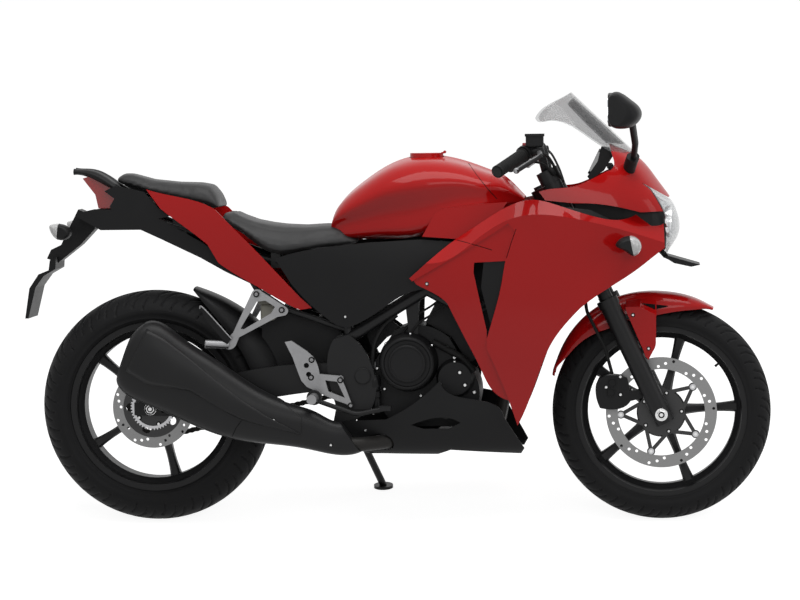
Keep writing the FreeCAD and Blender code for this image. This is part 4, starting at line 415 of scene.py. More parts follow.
def milky_lens():
    """The pale lens of an indicator, ribbed inside."""
    finish = Finish("milky_lens", coat_weight=0.6, specular_ior_level=0.6)
    ribs = finish.noise(150, 1, at=finish.place(scale=(1, 1, 0.2)))
    finish.set(base_color=finish.mix(ribs, (0.38, 0.38, 0.38), (0.78, 0.78, 0.77)), roughness=0.14)
    return finish.material


def lamp_chrome():
    """Bright metal with the facets of a lamp's bowl, each facet painted brighter towards its rim as a
    painted reflection.
    """
    finish = Finish("lamp_chrome", metallic=1.0)
    facets = finish.cells(60)
    # painted reflection: each facet is darker in its middle and brighter towards its rim, following the
    # bump
    finish.set(base_color=finish.mix(facets, (0.62, 0.63, 0.64), (0.9, 0.9, 0.9)), roughness=0.16)
    finish.bump(facets, 0.002)
    return finish.material


def mirror_glass():
    finish = Finish("mirror_glass", metallic=1.0, base_color=(0.72, 0.74, 0.76))
    finish.set(roughness=finish.noise(3, 1) * 0.01 + 0.02)
    return finish.material


def red_lens():
    """The tail lamp's red lens, ribbed inside."""
    finish = Finish("red_lens", ior=1.45, specular_ior_level=0.6, coat_weight=0.5)
    ribs = finish.noise(160, 1, at=finish.place(scale=(1, 1, 0.2)))
    finish.set(base_color=finish.mix(ribs, (0.24, 0.003, 0.003), (0.5, 0.012, 0.01)), roughness=0.14)
    finish.bump(ribs, 0.0001)
    return finish.material


def dial_glass():
    finish = Finish("dial_glass", base_color=(0.01, 0.011, 0.012), coat_weight=1.0)
    finish.set(roughness=finish.noise(4, 1) * 0.04 + 0.08)
    return finish.material


def dial_white():
    finish = Finish("dial_white", roughness=0.4)
    finish.set(base_color=finish.mix(finish.noise(20), (0.7, 0.7, 0.7), (0.85, 0.85, 0.85)))
    return finish.material


def switch_red():
    finish = Finish("switch_red", roughness=0.35)
    finish.set(base_color=finish.mix(finish.noise(80), (0.3, 0.01, 0.015), (0.42, 0.02, 0.03)))
    return finish.material


def split_line():
    """The dark gap between two panels."""
    finish = Finish("split_line", specular_ior_level=0.1, roughness=0.9)
    finish.set(base_color=finish.mix(finish.noise(50), (0.002, 0.002, 0.002), (0.006, 0.006, 0.006)))
    return finish.material


def smoked(name, tint, alpha):
    """Thin smoked plastic that can be seen through."""
    finish = Finish(name, base_color=tint, specular_ior_level=0.5, alpha=alpha)
    finish.set(roughness=finish.noise(5, 2) * 0.02 + 0.05)
    return finish.material


def smoked_screen():
    return smoked("smoked_screen", (0.17, 0.175, 0.18), 0.26)


def smoked_band():
    """The darker tint along the screen's leading edge."""
    return smoked("smoked_band", (0.06, 0.06, 0.063), 0.4)


def radiator_fins():
    """Matt black core with fine upright fins; the gaps between the fins are painted darker as shade, and
    the fins' crests lighter.
    """
    finish = Finish("radiator_fins", specular_ior_level=0.3, roughness=0.55)
    fins = finish.stripes(110, (0, 0, math.pi / 2))
    # painted shade: the colour follows the fins' wave, darker in the gaps between fins and lighter on their
    # crests
    finish.set(base_color=finish.mix(fins, (0.004, 0.004, 0.004), (0.03, 0.03, 0.03)))
    finish.bump(fins, 0.0012)
    return finish.material


SLOT_FINISH = {
    "red_paint": red_paint, "black_plastic": black_plastic, "black_metal": black_metal,
    "silver_metal": silver_casting, "steel": steel, "chrome_tube": black_metal, "tyre": tyre_rubber,
    "rubber": soft_rubber, "seat_cover": seat_vinyl, "clear_lens": clear_lens, "red_lens": red_lens,
    "smoked_screen": smoked_screen, "pale_plastic": pale_plastic,
}
NODE_FINISH = {
    "front_disc": front_disc_steel, "rear_disc": rear_disc_steel, "engine": black_casting,
    "cylinder": black_casting, "front_caliper": black_casting, "rear_caliper": black_casting,
    "tail_lamp": red_lens, "radiator": radiator_fins, "fork_tubes": black_metal, "fuel_cap": red_paint,
    "exhaust_pipe": dark_pipe, "muffler": black_metal, "chain": dark_pipe,
}


@lru_cache
def finish_of(maker):
    """The finish's material, made at its first use."""
    return maker()


def dress_nodes():
    for node, obj in frame["nodes"].items():
        material = finish_of(NODE_FINISH.get(node) or SLOT_FINISH[SLOTS[node]])
        obj.data.materials.clear()
        obj.data.materials.append(material)


# Places

def spot(x, y, z):
    """A point of the upright bike on the leaning bike, in metres."""
    return BIKE @ (Vector((x, y, z)) * MM)


def heading(x, y, z):
    """A direction of the upright bike on the leaning bike."""
    return BIKE.to_3x3() @ Vector((x, y, z))


def upright(point):
    """A point of the leaning bike, back on the upright bike in millimetres."""
    return (UNLEANED @ point) / MM


@lru_cache
def surface_of(node):
    mesh = frame["nodes"][node].data
    return BVHTree.FromPolygons([v.co for v in mesh.vertices], [p.vertices for p in mesh.polygons])


def met(nodes, start, way):
    """Where a line first meets any of these nodes, and the way out of the surface there."""
    found = []
    for node in nodes:
        where, facing, _, far = surface_of(node).ray_cast(start, way.normalized())
        if where is not None:
            found.append((far, where, facing))
    if not found:
        raise RuntimeError(f"The line doesn't meet {nodes}")
    _, where, facing = min(found, key=lambda each: each[0])
    return where, facing if facing.dot(way) < 0 else -facing


def sight_through(pixel):
    """The way the camera looks through a pixel, on the upright bike."""
    right, up = Vector(CAMERA_RIGHT), Vector(CAMERA_UP)
    return (up.cross(right) * FOCAL_PIXELS + right * (pixel[0] - IMAGE_WIDTH / 2)
            + up * (IMAGE_HEIGHT / 2 - pixel[1]))


def seen_on(pixel, *nodes):
    """Where the line of sight through a pixel of the photograph first meets any of these nodes."""
    return met(nodes, BIKE @ Vector(CAMERA_AT), BIKE.to_3x3() @ sight_through(pixel))


def seen_at(pixel, y):
    """Where the line of sight through a pixel crosses a plane y millimetres to the left."""
    start, sight = Vector(CAMERA_AT), sight_through(pixel)
    return BIKE @ (start + sight * ((y * MM - start.y) / sight.y))


def between(first, second, share):
    """A pixel part of the way from one to another."""
    return tuple(a + (b - a) * share for a, b in zip(first, second))


def on_side(node, x, z, side=RIGHT):
    """Where a line across the bike first meets a node from one side."""
    return met((node,), spot(x, side * BEYOND, z), heading(0, -side, 0))


def both_sides(node, place):
    """A place on the right side of a node and its twin on the left."""
    at = upright(place[0])
    return [place, on_side(node, at.x, at.z, LEFT)]


def mirrored(place):
    """The twin of a place on the other side of the upright bike."""
    at, out = upright(place[0]), UNLEANED.to_3x3() @ place[1]
    return spot(at.x, -at.y, at.z), heading(out.x, -out.y, out.z)


def wheel_point(axle, angle, radius, y):
    """A point round an axle: angle from straight ahead in side view."""
    a = math.radians(angle)
    return spot(axle[0] + radius * math.cos(a), y, axle[2] + radius * math.sin(a))


# Shapes

def add_piece(name, mesh, like, replaces=()):
    """Links a mesh that rides with the body of a node of the frame."""
    piece = bpy.data.objects.new(name, mesh)
    bpy.context.scene.collection.objects.link(piece)
    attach(piece, BODIES[like])
    if replaces:
        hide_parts(*replaces)
    return piece


def add_shape(name, shape, maker, like, crease=32, replaces=(), recalculate=True):
    """Ends a shape and adds it: doubles merged, faces turned outwards, shaded by angle, with a finish."""
    bmesh.ops.remove_doubles(shape, verts=shape.verts, dist=SAME_POINT)
    if recalculate:
        bmesh.ops.recalc_face_normals(shape, faces=shape.faces)
    mesh = bpy.data.meshes.new(name)
    shape.to_mesh(mesh)
    shape.free()
    mesh.shade_smooth()
    mesh.set_sharp_from_angle(angle=math.radians(crease))
    mesh.materials.append(finish_of(maker))
    return add_piece(name, mesh, like, replaces)


def loft(shape, rings, looped=False):
    """Skins rings of as many points each, in order, and caps the ends unless they are looped."""
    rows = [[shape.verts.new(point) for point in ring] for ring in rings]
    pairs = list(zip(rows, rows[1:]))
    if looped:
        pairs.append((rows[-1], rows[0]))
    for first, second in pairs:
        for k in range(len(first)):
            n = (k + 1) % len(first)
            shape.faces.new((first[k], first[n], second[n], second[k]))
    if not looped:
        shape.faces.new(rows[0][::-1])
        shape.faces.new(rows[-1])


def ring_round(middle, first, second, radius, sides):
    """A round ring of points in the plane of two directions."""
    turns = [2 * math.pi * k / sides for k in range(sides)]
    return [middle + (first * math.cos(a) + second * math.sin(a)) * radius * MM for a in turns]


def add_rod(shape, start, end, profile, sides=24):
    """A turned bar from start to end."""
    way = (end - start).normalized()
    first = way.orthogonal().normalized()
    second = way.cross(first).normalized()
    loft(shape, [ring_round(start.lerp(end, share), first, second, radius, sides)
                 for share, radius in profile])


def smooth_line(points, steps):
    """Points along a Catmull-Rom curve through the given points."""
    ends = [points[0] * 2 - points[1], *points, points[-1] * 2 - points[-2]]
    line = []
    for a, b, c, d in zip(ends, ends[1:], ends[2:], ends[3:]):
        for k in range(steps):
            t = k / steps
            line.append(((b * 2) + (c - a) * t + (a * 2 - b * 5 + c * 4 - d) * t * t
                         + (b * 3 - a - c * 3 + d) * t ** 3) / 2)
    line.append(points[-1])
    return line


def add_hose(shape, points, radius, sides=12, end_radius=None):
    """A round hose, or a tapering one, along a smooth line through points of the leaning bike."""
    line = smooth_line(points, 8)
    first = (line[1] - line[0]).normalized().orthogonal().normalized()
    rings = []
    for k, middle in enumerate(line):
        way = (line[min(k + 1, len(line) - 1)] - line[max(k - 1, 0)]).normalized()
        first = (first - way * first.dot(way)).normalized()
        size = radius + ((end_radius or radius) - radius) * k / (len(line) - 1)
        rings.append(ring_round(middle, first, way.cross(first), size, sides))
    loft(shape, rings)


def add_rubber_hose(name, points, radius, like):
    shape = bmesh.new()
    add_hose(shape, points, radius)
    add_shape(name, shape, soft_rubber, like)


def turned(shape, axle, profile, sides=96):
    """Spins a closed profile of (y, radius) round an axle."""
    rings = []
    for k in range(sides):
        rings.append([wheel_point(axle, 360 * k / sides, radius, y) for y, radius in profile])
    loft(shape, rings, looped=True)


def add_panel_pair(name, pixels, far, thick, maker, like):
    """A flat panel on each side, far millimetres from the middle, cut to an outline of pixels."""
    shape = bmesh.new()
    outline = [upright(seen_at(pixel, -far)) for pixel in pixels]
    for side in (RIGHT, LEFT):
        loft(shape, [[spot(p.x, side * y, p.z) for p in outline] for y in (far, far - thick)])
    add_shape(name, shape, maker, like)


def thicken(piece, wall, offset):
    thick = piece.modifiers.new("wall", "SOLIDIFY")
    thick.thickness = wall * MM
    thick.offset = offset


def skin_of(name, node, maker, grow, wall, cut=None, keep=None):
    """A thin shell over part of a node. The cut is a point and a way on the upright bike: only what
    lies ahead of it is kept. With keep, so are only the faces whose way out passes it."""
    shape = bmesh.new()
    shape.from_mesh(frame["nodes"][node].data)
    bmesh.ops.remove_doubles(shape, verts=shape.verts, dist=SAME_POINT * 2)
    if cut:
        everything = shape.verts[:] + shape.edges[:] + shape.faces[:]
        bmesh.ops.bisect_plane(shape, geom=everything, plane_co=spot(*cut[0]), plane_no=heading(*cut[1]),
                               clear_inner=True)
    shape.normal_update()
    if keep:
        turned_back = UNLEANED.to_3x3()
        dropped = [face for face in shape.faces if not keep(turned_back @ face.normal)]
        bmesh.ops.delete(shape, geom=dropped, context="FACES")
    moved = [(vert, vert.co + vert.normal * grow * MM) for vert in shape.verts]
    for vert, place in moved:
        vert.co = place
    piece = add_shape(name, shape, maker, node, recalculate=False)
    thicken(piece, wall, -1)
    return piece


# Repeats

# A screw's top and socket as shares of its radius, how far up its socket is cut, and how proud it stands
SCREW_TOP = 0.72
SCREW_SOCKET = 0.45
SOCKET_LIFT = 0.9
SCREW_STAND = 0.4
COLLAR_SHARE = 1.5
COLLAR_HEIGHT = 1.2


class Pattern(Nodes):
    """A Geometry Nodes tree with named inputs, whose piece is copied to points."""

    def __init__(self, name, **sizes):
        self.tree = bpy.data.node_groups.new(name, "GeometryNodeTree")
        face = self.tree.interface
        face.new_socket("Geometry", in_out="INPUT", socket_type="NodeSocketGeometry")
        self.names = {}
        for key, value in sizes.items():
            socket = face.new_socket(key.capitalize(), in_out="INPUT", socket_type="NodeSocketFloat")
            socket.default_value = value
            self.names[key] = socket
        self.names["material"] = face.new_socket("Material", in_out="INPUT",
                                                 socket_type="NodeSocketMaterial")
        face.new_socket("Geometry", in_out="OUTPUT", socket_type="NodeSocketGeometry")
        self.source = self.tree.nodes.new("NodeGroupInput")

    def given(self, key):
        return Value(self, self.source.outputs[self.names[key].name])

    def copied(self, instance):
        """Ends the tree: copies at the points, turned to their facing, made real and painted."""
        facing = self.node("GeometryNodeInputNamedAttribute", {"data_type": "FLOAT_VECTOR"},
                           {"Name": "facing"})
        turn = self.node("FunctionNodeAlignRotationToVector", {"axis": "Z"}, {"Vector": facing})
        points = Value(self, self.source.outputs["Geometry"])
        copies = self.node("GeometryNodeInstanceOnPoints", {},
                           {"Points": points, "Instance": instance, "Rotation": turn})
        whole = self.node("GeometryNodeRealizeInstances", {}, {"Geometry": copies})
        painted = self.node("GeometryNodeSetMaterial", {},
                            {"Geometry": whole, "Material": self.given("material")})
        output = self.tree.nodes.new("NodeGroupOutput")
        self.put(output.inputs["Geometry"], painted)
        return self


@lru_cache
def socket_screws():
    """Round-headed screws with a six-sided socket."""
    made = Pattern("socket_screws", radius=0.005, height=0.003, socket=0.0022)
    radius, height = made.given("radius"), made.given("height")
    head = made.node("GeometryNodeMeshCone", {"fill_type": "NGON"},
                     {"Vertices": 20, "Radius Top": radius * SCREW_TOP, "Radius Bottom": radius,
                      "Depth": height})
    hole = made.node("GeometryNodeMeshCylinder", {"fill_type": "NGON"},
                     {"Vertices": 6, "Radius": made.given("socket"), "Depth": height})
    lift = made.node("ShaderNodeCombineXYZ", {}, {"Z": height * SOCKET_LIFT})
    hole = made.node("GeometryNodeTransform", {}, {"Geometry": hole, "Translation": lift})
    screw = made.node("GeometryNodeMeshBoolean", {"operation": "DIFFERENCE"}, {0: head, 1: hole})
    return made.copied(screw)


@lru_cache
def washers():
    """Flat round collars and heads."""
    made = Pattern("washers", radius=0.008, height=0.001)
    disc = made.node("GeometryNodeMeshCylinder", {"fill_type": "NGON"},
                     {"Vertices": 24, "Radius": made.given("radius"), "Depth": made.given("height")})
    return made.copied(disc)


def add_copies(name, pattern, like, places, maker, stand=0.0, **sizes):
    """Sets a pattern's copies at places, stand millimetres proud, and bakes them into one piece."""
    points = bpy.data.meshes.new(name)
    points.from_pydata([where + facing * stand * MM for where, facing in places], [], [])
    facings = points.attributes.new("facing", "FLOAT_VECTOR", "POINT")
    for slot, (_, facing) in zip(facings.data, places):
        slot.vector = facing
    carrier = bpy.data.objects.new(name + "_points", points)
    bpy.context.scene.collection.objects.link(carrier)
    modifier = carrier.modifiers.new("pattern", "NODES")
    modifier.node_group = pattern.tree
    for key, value in sizes.items():
        modifier[pattern.names[key].identifier] = value * MM
    modifier[pattern.names["material"].identifier] = finish_of(maker)
    mesh = evaluated_mesh(carrier)
    mesh.name = name
    bpy.data.objects.remove(carrier)
    add_piece(name, mesh, like)


def evaluated_mesh(piece):
    return bpy.data.meshes.new_from_object(piece.evaluated_get(bpy.context.evaluated_depsgraph_get()))


def add_screws(name, like, places, maker, radius, height):
    """Screws at places on one body, each on a black collar."""
    add_copies(name, socket_screws(), like, places, maker, SCREW_STAND,
               radius=radius, height=height, socket=radius * SCREW_SOCKET)
    add_copies(name + "_collars", washers(), like, places, soft_rubber,
               radius=radius * COLLAR_SHARE, height=COLLAR_HEIGHT)


# Tyres

# Each tyre: axle, radius, width and the rim's width
TYRES = {
    "front_tyre": (FRONT_AXLE, FRONT_TYRE_RADIUS, 110, 88),
    "rear_tyre": (REAR_AXLE, REAR_TYRE_RADIUS, 140, 112),
}
RIM_RADIUS = 230
# How much larger the tread's round is than half the width, and how far the walls are inside it
CROWN_FLATTER = 2
WALL_INSIDE = 1
BEAD_RADIUS = 218.3
TREAD_PITCHES = 22
PITCH_ROWS = 28
TREAD_COLUMNS = 34
GROOVE_HALF = 2.3
# Grooves over one pitch: share of the pitch, and of the way from the middle to the shoulder
TREAD_GROOVES = (((0.02, 0.05), (0.34, 0.28), (0.62, 0.62), (0.70, 0.86)),
                 ((0.52, 0.18), (0.80, 0.42), (0.96, 0.74)),
                 ((0.18, 0.55), (0.30, 0.78), (0.34, 0.95)))
# The wall's outline as y and radius, first from the shoulder, then from the rim's edge
WALL_FROM_SHOULDER = ((-0.6, -4), (-0.2, -6), (-2, -11), (-4.5, -20), (-4.0, -22), (-5.5, -25))
WALL_FROM_RIM = ((5, 12), (3, 6), (-1, 1.5), (-5.3, 1), (-5.3, BEAD_RADIUS - RIM_RADIUS))
VALVE = ((0, 5), (0.4, 4), (0.45, 3), (0.8, 3), (0.82, 3.6), (1, 3.4))
VALVE_FROM, VALVE_TO = 214, 186


def groove_distance(here, shift):
    """Distance from the nearest groove's middle, in shares of a pitch."""
    nearest = 1.0
    for groove in TREAD_GROOVES:
        for a, b in zip(groove, groove[1:]):
            start = Vector((a[0] + shift, a[1]))
            run = Vector((b[0] + shift, b[1])) - start
            share = min(1.0, max(0.0, (here - start).dot(run) / run.length_squared))
            nearest = min(nearest, (here - start - run * share).length)
    return nearest


@lru_cache
def groove_table():
    """How far each point of one pitch of tread is from a groove, across half the tyre."""
    table = []
    for row in range(PITCH_ROWS):
        line = []
        for column in range(TREAD_COLUMNS):
            here = Vector((row / PITCH_ROWS, column / (TREAD_COLUMNS - 1)))
            line.append(min(groove_distance(here, shift) for shift in (-1, 0, 1)))
        table.append(line)
    return table


def add_tyre(node, axle, radius, width, rim_width):
    """A tyre with its tread cut, its shoulders round and a raised ring on each wall."""
    crown = width / 2 + CROWN_FLATTER
    side = width / 2 - WALL_INSIDE
    sweep = math.asin(side / crown)
    shoulder = radius - crown + math.sqrt(crown ** 2 - side ** 2)
    pitch = 2 * math.pi * radius / TREAD_PITCHES
    depth = fine_sizes().groove_depth / MM
    wall = [(side + y, shoulder + r) for y, r in WALL_FROM_SHOULDER]
    wall += [(rim_width / 2 + y, RIM_RADIUS + r) for y, r in WALL_FROM_RIM]
    shape = bmesh.new()
    rings = []
    rows = TREAD_PITCHES * PITCH_ROWS
    for row in range(rows):
        ring = [(-y, r) for y, r in wall[::-1]]
        for column in range(1 - TREAD_COLUMNS, TREAD_COLUMNS):
            angle = sweep * column / (TREAD_COLUMNS - 1)
            turn = row if column >= 0 else row + PITCH_ROWS // 2
            away = groove_table()[turn % PITCH_ROWS][abs(column)] * pitch
            cut = depth * (1 - min(1.0, max(0.0, (away - GROOVE_HALF / 2) / GROOVE_HALF)))
            reach = crown - cut
            ring.append((reach * math.sin(angle), radius - crown + reach * math.cos(angle)))
        ring += wall
        rings.append([wheel_point(axle, 360 * row / rows, r, y) for y, r in ring])
    loft(shape, rings, looped=True)
    add_shape(node + "_tread", shape, tyre_rubber, node, crease=38, replaces=[node])


def add_valve(name, axle, like):
    shape = bmesh.new()
    ends = [wheel_point(axle, BETWEEN_SPOKES, radius, 0) for radius in (VALVE_FROM, VALVE_TO)]
    add_rod(shape, *ends, VALVE)
    add_shape(name, shape, soft_rubber, like)


# Seats

# Half a section as shares of width and height, and stations as x, top, underside and half width
SEAT_SECTION = ((0, 1.0), (0.34, 0.985), (0.62, 0.93), (0.80, 0.80), (0.92, 0.54), (0.99, 0.26),
                (0.97, 0.07), (0.84, 0.0), (0.42, 0.0), (0, 0))
RIDER_STATIONS = ((197, 842, 824, 84), (218, 842, 806, 100), (244, 828, 792, 113), (282, 814, 766, 127),
                  (322, 806, 738, 135), (360, 801, 728, 137), (414, 798, 734, 137), (470, 801, 741, 132),
                  (506, 800, 746, 126), (532, 790, 750, 120), (556, 778, 756, 112), (570, 770, 762, 104))
PILLION_STATIONS = ((-99, 936, 926, 44), (-84, 944, 922, 54), (-56, 942, 914, 63), (0, 926, 897, 77),
                    (70, 918, 881, 89), (130, 916, 867, 98), (162, 910, 858, 98), (180, 888, 852, 96),
                    (193, 858, 848, 93))
SWELL_FRAMES = 20
COVER_STEPS = 4
AIR_PRESSURE = 4


def seat_form(stations):
    """The closed form of a seat before it swells."""
    shape = bmesh.new()
    rings = []
    for x, top, low, half in stations:
        right = [(x, -half * across, low + (top - low) * up) for across, up in SEAT_SECTION]
        left = [(x, -y, z) for x, y, z in right[-2:0:-1]]
        rings.append([spot(*point) for point in right + left])
    loft(shape, rings)
    bmesh.ops.recalc_face_normals(shape, faces=shape.faces)
    return shape


def puff(piece, cell, most):
    """Lets the foam swell under a light cover: a short cloth run with air inside, capped at most."""
    even = piece.modifiers.new("even", "REMESH")
    even.mode = "VOXEL"
    even.voxel_size = cell
    piece.data = evaluated_mesh(piece)
    piece.modifiers.clear()
    cloth = piece.modifiers.new("cover", "CLOTH")
    cloth.settings.quality = COVER_STEPS
    cloth.settings.use_pressure = True
    cloth.settings.uniform_pressure_force = AIR_PRESSURE
    cloth.settings.effector_weights.gravity = 0
    scene = bpy.context.scene
    for moment in range(1, SWELL_FRAMES + 1):
        scene.frame_set(moment)
    swollen = evaluated_mesh(piece)
    for vert, moved in zip(piece.data.vertices, swollen.vertices):
        step = moved.co - vert.co
        if step.length > most:
            step *= most / step.length
        vert.co += step
    piece.modifiers.clear()
    bpy.data.meshes.remove(swollen)
    scene.frame_set(1)


def add_seat(node, stations):
    """A seat pad: its form remeshed and swollen, in vinyl."""
    piece = add_shape(node + "_cover", seat_form(stations), seat_vinyl, node, crease=80, replaces=[node])
    puff(piece, fine_sizes().seat_cell, fine_sizes().seat_swell)
    piece.data.materials.clear()
    piece.data.materials.append(finish_of(seat_vinyl))
    piece.data.shade_smooth()
    smooth = piece.modifiers.new("smooth", "SUBSURF")
    smooth.levels = smooth.render_levels = 1


# Fasteners

# Heads of the screws: radius and height
PANEL_SCREW = (3.6, 2.6)
STEP_BOLT = (5.6, 4)
ENGINE_BOLT = (3.8, 3)
CASE_BOLT = (5, 4)
BRAKE_BOLT = (4, 3)
REAR_DISC_BOLT = (4.5, 3)
CALIPER_PIN = (4.5, 4)
# Each axle's nuts: name, axle, the node that holds them, and y from the collar to the end
AXLE_NUTS = (("front_axle_nut", FRONT_AXLE, "fork_legs", 126.4, 134),
             ("rear_axle_nut", REAR_AXLE, "swingarm", 122.4, 131))
NUT = ((0, 15.5), (0.18, 15.5), (0.2, 13), (0.82, 13), (1, 11.6))
NUT_COLLAR = ((0, 16.5), (0.8, 16.5), (1, 16))
NUT_COLLAR_SHARE = 0.25
# The speed ring: its teeth, their outer and inner radii, the hole's radius and y of both faces
RING_TEETH = 44
RING_TIP, RING_ROOT, RING_HOLE = 61, 56.5, 50
RING_OUTER, RING_INNER = -84, -79
# A bobbin's head and pin: radius and height
BOBBIN_HEAD = {"radius": 8, "height": 0.5}
BOBBIN_PIN = {"radius": 4, "height": 0.9}


def add_seen_screws(seen, ending, maker, radius, height):
    """Screws where the photograph shows them, with their twins on the left."""
    for node, pixels in seen.items():
        places = []
        for pixel in pixels:
            place = seen_on(pixel, node)
            places += [place] if node in RIGHT_SIDE_ONLY else both_sides(node, place)
        add_screws(node + ending, node, places, maker, radius, height)


def add_case_bolts():
    """Silver bolts scattered round the engine's right side."""
    places = [seen_on(pixel, *CASE_NODES) for pixel in SEEN_CASE_BOLTS]
    add_screws("case_bolts", "engine", places, bright_screw, *CASE_BOLT)


def disc_places(axle, face, radius, first):
    """Places round a disc's right face, one to each spoke."""
    out = heading(0, -1, 0)
    return [(wheel_point(axle, first + 360 / SPOKES * k, radius, face), out) for k in range(SPOKES)]


def add_bobbins():
    """The floating disc's bobbins, each a flat steel head with a brighter pin."""
    places = disc_places(FRONT_AXLE, FRONT_DISC_FACE, BOBBIN_CIRCLE, BETWEEN_SPOKES)
    add_copies("front_disc_bobbins", washers(), "front_disc", places, steel, **BOBBIN_HEAD)
    add_copies("front_disc_bobbin_pins", washers(), "front_disc", places, bright_screw, **BOBBIN_PIN)


def add_brake_bolts():
    """Bolts of both discs and of the front caliper."""
    front = disc_places(FRONT_AXLE, FRONT_DISC_FACE, FRONT_BOLT_CIRCLE, SPOKE_TURN)
    rear = disc_places(REAR_AXLE, REAR_DISC_FACE, REAR_BOLT_CIRCLE, 0)
    add_screws("front_disc_bolts", "front_disc", front, bright_screw, *BRAKE_BOLT)
    add_screws("rear_disc_bolts", "rear_disc", rear, bright_screw, *REAR_DISC_BOLT)
    add_screws("caliper_bolts", "front_caliper", [seen_on(SEEN_CALIPER_BOLT, "front_caliper")],
               bright_screw, *BRAKE_BOLT)


def add_axle_nuts():
    """A nut on a round collar at each end of both axles."""
    for side, ending in ((RIGHT, ""), (LEFT, "_left")):
        for name, axle, like, inner, outer in AXLE_NUTS:
            shape = bmesh.new()
            start, end = [spot(axle[0], side * y, axle[2]) for y in (inner, outer)]
            add_rod(shape, start, end, NUT, sides=6)
            add_rod(shape, start, start.lerp(end, NUT_COLLAR_SHARE), NUT_COLLAR, sides=32)
            add_shape(name + ending, shape, bright_screw, like, crease=20)


def add_speed_ring():
    """The toothed speed ring inside the rear disc."""
    shape = bmesh.new()
    rings = []
    steps = RING_TEETH * 4
    for k in range(steps):
        reach = RING_TIP if k % 4 in (1, 2) else RING_ROOT
        section = ((RING_OUTER, RING_HOLE), (RING_OUTER, reach),
                   (RING_INNER, reach), (RING_INNER, RING_HOLE))
        rings.append([wheel_point(REAR_AXLE, 360 * k / steps, r, y) for y, r in section])
    loft(shape, rings, looped=True)
    add_shape("speed_ring", shape, steel, "rear_disc", crease=20)


# Engine side

CALIPER_PISTONS = ((1240, 376), (1236, 350))
# How far out of the caliper each cap begins and ends
PISTON_CAP_REACH = (-1, 5)
PISTON_CAP = ((0, 13), (0.5, 13), (0.55, 10), (1, 9))
CALIPER_PINS = ((1262, 392), (1262, 344), (1224, 364))
CLUTCH_AXIS = (697, 0, 435)
CLUTCH_RINGS = (((-149, 60), (-153, 61.5), (-154, 64), (-154, 66), (-152.5, 69), (-148, 71.5)),
                ((-159, 43), (-162, 44), (-162.5, 46), (-161.5, 48.5), (-158, 50.5)))
PIVOT_AXIS = (577, 0, 401)
PIVOT_CAP = ((137, 2), (137, 22), (142, 22), (143, 20.5), (143, 14), (141, 12.5), (141, 2))
# The rear brake's pump, as two rods: y, two pixels and a profile
BRAKE_PUMP = ((-122, (374.5, 375), (374.5, 391),
               ((0, 12), (0.1, 15), (0.3, 17), (0.7, 17), (0.9, 15), (1, 12))),
              (-118, (375.5, 390), (377.5, 414),
               ((0, 12), (0.06, 14.5), (0.3, 14.5), (0.33, 12.5), (0.7, 12.5), (0.72, 14.5),
                (0.94, 14.5), (1, 12))))
# Hoses over the engine: name, y, radius and pixels
ENGINE_HOSES = (
    ("breather_hose", -118, 5.5, ((397, 315), (384, 326), (375, 343), (372.5, 362), (373.5, 378))),
    ("coolant_hose", -104, 9, ((433, 342), (448, 350), (462, 358), (474, 372))),
    ("clutch_cable", -112, 3, ((410, 334), (420, 322), (436, 312), (450, 301))),
    ("throttle_cable", -100, 3, ((398, 340), (414, 318), (434, 304), (448, 292))),
)
# Dark panels deep inside: name, distance from the middle and outline
INNER_PANELS = (
    ("inner_guard", 64, ((262, 318), (300, 312), (322, 318), (345, 335), (352, 362), (338, 392),
                         (300, 392), (262, 372))),
    ("intake_body", 46, ((366, 332), (384, 314), (399, 311), (392, 321), (403, 329), (386, 338),
                         (373, 352))),
    ("intake_pipe", 40, ((428, 317), (444, 300), (454, 316), (442, 337), (424, 331))),
)
INNER_PANEL_THICK = 8


def add_caliper_details():
    """Piston caps and pins on the front caliper."""
    shape = bmesh.new()
    for x, z in CALIPER_PISTONS:
        face = upright(on_side("front_caliper", x, z)[0]).y
        ends = [spot(x, face - out, z) for out in PISTON_CAP_REACH]
        add_rod(shape, *ends, PISTON_CAP, sides=28)
    add_shape("piston_caps", shape, smooth_plastic, "front_caliper")
    pins = [on_side("front_caliper", x, z) for x, z in CALIPER_PINS]
    add_screws("caliper_pins", "front_caliper", pins, bright_screw, *CALIPER_PIN)


def add_clutch_rings():
    """Two raised rings on the clutch cover."""
    shape = bmesh.new()
    for profile in CLUTCH_RINGS:
        turned(shape, CLUTCH_AXIS, profile)
    add_shape("clutch_cover_rings", shape, black_casting, "engine", crease=50)


def add_pivot_caps():
    """A round cap over each end of the swingarm's pivot."""
    shape = bmesh.new()
    for side in (RIGHT, LEFT):
        turned(shape, PIVOT_AXIS, [(side * y, radius) for y, radius in PIVOT_CAP], sides=48)
    add_shape("pivot_caps", shape, black_casting, "frame")


def add_brake_pump():
    shape = bmesh.new()
    for y, top, low, profile in BRAKE_PUMP:
        add_rod(shape, seen_at(top, y), seen_at(low, y), profile)
    add_shape("rear_brake_pump", shape, smooth_plastic, "rider_steps")


def add_engine_hoses():
    for name, y, radius, pixels in ENGINE_HOSES:
        add_rubber_hose(name, [seen_at(pixel, y) for pixel in pixels], radius, "engine")


def add_inner_panels():
    """The inner guard before the rear wheel, and the intake over the engine."""
    for name, far, pixels in INNER_PANELS:
        add_panel_pair(name, pixels, far, INNER_PANEL_THICK, black_casting, "frame")


# Lines and patches on panels

